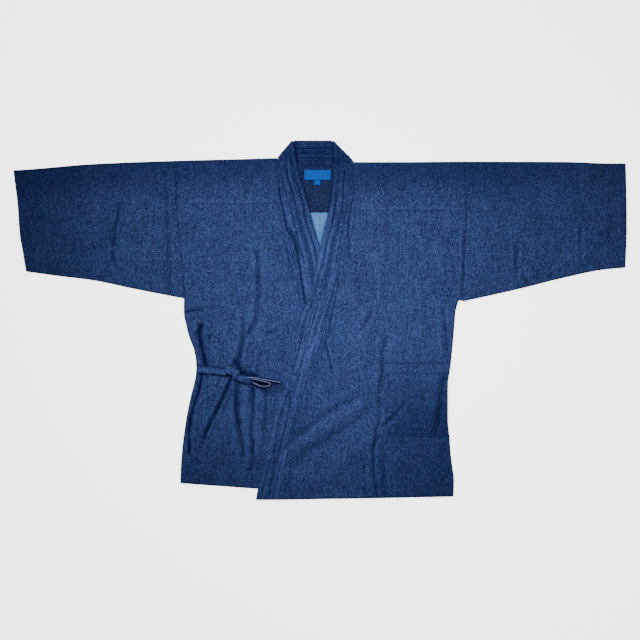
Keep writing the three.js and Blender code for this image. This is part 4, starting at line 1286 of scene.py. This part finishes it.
def new_material(name, roughness, specular):
    """A material, its tree and shader, and the object's own coordinates in it."""
    material = bpy.data.materials.new(name)
    material.use_nodes = True
    tree = material.node_tree
    shader = tree.nodes["Principled BSDF"]
    shader.inputs["Roughness"].default_value = roughness
    shader.inputs["Specular IOR Level"].default_value = specular
    return material, tree, shader, node(tree, "TexCoord").outputs["Object"]


def set_bump(tree, shader, height, strength, distance):
    bump = node(tree, "Bump", in_Strength=strength, in_Distance=distance)
    tree.links.new(height, bump.inputs["Height"])
    tree.links.new(bump.outputs["Normal"], shader.inputs["Normal"])


def set_mottled(tree, shader, colour, tone):
    """A base colour that varies by 30% either way with the tone."""
    low, high = (tuple(share * c for c in colour) for share in (0.7, 1.3))
    tree.links.new(blend_colour(tree, tone, low, high), shader.inputs["Base Color"])


# The cloth's noises: scale, stretch, detail, roughness, and the values between which each rises from 0 to 1.
CLOTH_NOISES = {
    "fleck": (340, (1, 1, 1), 1, 0.5, 0.4, 0.62),
    "warp": (420, (1, 0.28, 1), 1, 0.5, 0.4, 0.62),
    "weft": (420, (0.28, 1, 1), 1, 0.5, 0.4, 0.62),
    "streak": (190, (1, 0.11, 1), 2, 0.6, 0.32, 0.68),
    "band": (90, (0.07, 1, 1), 2, 0.6, 0.3, 0.7),
    "cloud": (16, (1, 0.7, 1), 3, 0.6, 0.3, 0.7),
    "hue": (55, (1, 0.6, 1), 2, 0.6, 0.35, 0.65),
}
GRAIN_PARTS = {"fleck": 0.5, "warp": 0.32, "weft": 0.18}
TONE_PARTS = {"streak": 0.13, "band": 0.05, "cloud": 0.07}
GRAIN_SHARE = 0.75


def denim(name, dark, light, shade_colour):
    """Heathered denim: dark warp and pale weft yarns in slubby streaks over a twill bump."""
    material, tree, shader, coords = new_material(name, 0.9, 0.03)
    noise = {
        key: ramp(tree, stretched_noise(tree, coords, *terms), low, high)
        for key, (*terms, low, high) in CLOTH_NOISES.items()
    }
    yarns = weighted(tree, [(noise[key], weight) for key, weight in GRAIN_PARTS.items()])
    grain = arithmetic(tree, "POWER", yarns, 1.35)
    uneven = [(noise[key], weight) for key, weight in TONE_PARTS.items()]
    tone = weighted(tree, [(grain, GRAIN_SHARE), *uneven])
    colour = blend_colour(tree, tone, dark, light)
    tint = blend_colour(tree, noise["hue"], (1.07, 0.98, 1.0), (0.93, 1.02, 1.0))
    colour = blend_colour(tree, 1.0, colour, tint, "MULTIPLY")
    # The crease attribute paints shade (above 0) and highlight (below 0) into the colour.
    crease = node(tree, "Attribute", attribute_name="crease").outputs["Fac"]
    shadow = arithmetic(tree, "MAXIMUM", crease, 0)
    lit = arithmetic(tree, "MULTIPLY", crease, -1)
    painted_light_and_tone = arithmetic(tree, "MULTIPLY", arithmetic(tree, "MAXIMUM", lit, 0), 0.6)
    # painted highlight
    colour = blend_colour(tree, painted_light_and_tone, colour, tuple(1.5 * c for c in light))
    # a highlight beyond 1 turns to the painted edge highlight colour
    edge = arithmetic(tree, "MAXIMUM", arithmetic(tree, "SUBTRACT", lit, 1), 0)
    colour = blend_colour(tree, edge, colour, PAINTED_EDGE_HIGHLIGHT)
    # painted shade
    colour = blend_colour(tree, shadow, colour, shade_colour)
    tree.links.new(colour, shader.inputs["Base Color"])
    twill = node(tree, "TexWave", bands_direction="DIAGONAL", in_Scale=250, in_Distortion=1.5, in_Detail=1)
    tree.links.new(coords, twill.inputs["Vector"])
    set_bump(tree, shader, weighted(tree, ((twill.outputs["Fac"], 0.35), (grain, 1))), 0.5, 0.0004)
    return material


def woven_tape(name, colour):
    """Satin label tape with fine ribs."""
    material, tree, shader, coords = new_material(name, 0.6, 0.05)
    ribs = node(tree, "TexWave", bands_direction="Y", in_Scale=420)
    tree.links.new(coords, ribs.inputs["Vector"])
    mottle = stretched_noise(tree, coords, 500, (0.4, 1, 1))
    set_mottled(tree, shader, colour, weighted(tree, ((ribs.outputs["Fac"], 0.3), (mottle, 0.7))))
    set_bump(tree, shader, ribs.outputs["Fac"], 0.3, 0.0002)
    return material


def thread(name, colour):
    material, tree, shader, coords = new_material(name, 0.8, 0.05)
    set_mottled(tree, shader, colour, stretched_noise(tree, coords, 900, (1, 1, 1)))
    return material


DENIM_DARK = (0.0024, 0.0054, 0.021)
DENIM_LIGHT = (0.0305, 0.0515, 0.148)
# colours of painted shade and of the painted highlight on a tie's top edge
DENIM_PAINTED_SHADE = (0.0018, 0.0034, 0.0235)
PAINTED_EDGE_HIGHLIGHT = (0.08, 0.1, 0.19)
OUTSIDE = denim("denim_outside", DENIM_DARK, DENIM_LIGHT, DENIM_PAINTED_SHADE)
WRONG_SIDE = denim("denim_wrong_side", (0.036, 0.098, 0.225), (0.074, 0.178, 0.38), (0.008, 0.024, 0.07))
LINING = denim("lining", (0.0016, 0.0038, 0.016), (0.014, 0.022, 0.066), DENIM_PAINTED_SHADE)
LABEL_TAPE = woven_tape("label_tape", (0.0, 0.042, 0.22))
THREAD = thread("thread", (0.022, 0.044, 0.125))

# ---------- the jacket ----------
def dress(obj, *nodes, slot="denim"):
    """Give a piece to the frame's one body, in place of its solid where it has one."""
    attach(obj, "root")
    if nodes:
        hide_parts(*nodes)
    return obj


two_faced = [OUTSIDE, WRONG_SIDE]
one_faced = [OUTSIDE, OUTSIDE]
right_body = dress(shell("right_body_cloth", *body_faces(BODY_RIGHT), two_faced), "body_right")
left_body = dress(shell("left_body_cloth", *body_faces(BODY_LEFT), two_faced, flip=True), "body_left")
right_shell = shell("right_sleeve_cloth", *sleeve_faces(RIGHT), two_faced, ring=True, flip=True)
right_sleeve = dress(right_shell, "sleeve_right")
left_sleeve = dress(shell("left_sleeve_cloth", *sleeve_faces(LEFT), two_faced, ring=True), "sleeve_left")
collar = dress(shell("collar_cloth", *collar_faces(), one_faced), "collar")
lining_faces = flat_faces(LINING_ROWS, UNDER_Z, LINING_THICKNESS - 0.4, 3, wave=0.4, top_edge=lining_top)
lining = dress(shell("lining_cloth", *lining_faces, [LINING, LINING]), "yoke_lining", slot="lining")
label_faces = flat_faces(tag_rows(LABEL), LABEL_Z, LABEL_THICKNESS, 1.5)
label = dress(shell("label_tape_piece", *label_faces, [LABEL_TAPE, LABEL_TAPE]), "neck_label", slot="label")
tab_faces = flat_faces(tag_rows(TAB), LABEL_Z, LABEL_THICKNESS, 1.5)
tab = dress(shell("size_tab_piece", *tab_faces, [LABEL_TAPE, LABEL_TAPE]), "size_tab", slot="label")
pocket = dress(shell("pocket_cloth", *pocket_faces(), two_faced, flip=True), "pocket")
ties = [
    dress(shell(name, *tie_faces(rows), one_faced), cad_node)
    for name, rows, cad_node in (
        ("side_tie_cloth", TIE_SIDE, "tie_side"),
        ("front_tie_cloth", TIE_FRONT, "tie_front"),
        ("loop_cloth", TIE_LOOP, "tie_loop"),
    )
]
dress(add_knot(OUTSIDE), "tie_knot")

band_routes = [band_row(BODY_RIGHT, row, BAND_Z) for row in BAND_ROWS]
band_routes += [band_row(BODY_LEFT, row) for row in BAND_ROWS]
band_stitches = dress(stitches("band_stitches", band_routes + neck_rows(), THREAD))
right_stitches = dress(stitches("right_body_stitches", body_routes(BODY_RIGHT), THREAD))
left_stitches = dress(stitches("left_body_stitches", body_routes(BODY_LEFT), THREAD))
dress(stitches("cuff_stitches", [cuff_row(RIGHT), cuff_row(LEFT)], THREAD))
pocket_stitches = dress(stitches("pocket_stitches", pocket_rows(), THREAD))
label_stitches = dress(stitches("label_stitches", label_rows(), THREAD))


# ---------- floor and light, in metres, watts and degrees ----------
FLOOR_REACH = 30
FLOOR_Z = -0.0004
SKY = (0.74, 0.8, 1.11, 1)
SKY_STRENGTH = 0.45
LAMPS = [  # name, place, target, size, energy, spread
    ("key", (-1.6, 2.2, 1.75), (0.26, -0.1, 0), (0.8, 0.8), 11, 38),
    ("centre", (0.07, 0.05, 0.6), (0.07, 0.05, 0), (0.7, 0.12), 6.2, 180),
]


def add_floor():
    mesh = bpy.data.meshes.new("floor")
    corners = [(x * FLOOR_REACH, y * FLOOR_REACH, FLOOR_Z) for x, y in ((-1, -1), (1, -1), (1, 1), (-1, 1))]
    mesh.from_pydata(corners, [], [(0, 1, 2, 3)])
    material = bpy.data.materials.new("floor_paper")
    material.use_nodes = True
    shader = material.node_tree.nodes["Principled BSDF"]
    shader.inputs["Base Color"].default_value = (0.5, 0.5, 0.5, 1)
    shader.inputs["Roughness"].default_value = 0.9
    shader.inputs["Emission Color"].default_value = (1, 1, 1, 1)
    shader.inputs["Emission Strength"].default_value = 3.2
    mesh.materials.append(material)
    floor = bpy.data.objects.new("floor", mesh)
    scene.collection.objects.link(floor)


def add_area_light(name, place, target, size, energy, spread):
    data = bpy.data.lights.new(name, "AREA")
    data.spread = math.radians(spread)
    data.shape = "RECTANGLE"
    data.size, data.size_y = size
    data.energy = energy
    lamp = bpy.data.objects.new(name, data)
    lamp.location = place
    aim = Vector(target) - Vector(place)
    lamp.rotation_euler = aim.to_track_quat("-Z", "Y").to_euler()
    lamp.visible_camera = False
    scene.collection.objects.link(lamp)


def add_light():
    world = bpy.data.worlds.new("studio")
    world.use_nodes = True
    background = world.node_tree.nodes["Background"]
    background.inputs["Color"].default_value = SKY
    background.inputs["Strength"].default_value = SKY_STRENGTH
    scene.world = world
    for lamp in LAMPS:
        add_area_light(*lamp)


add_floor()
add_light()
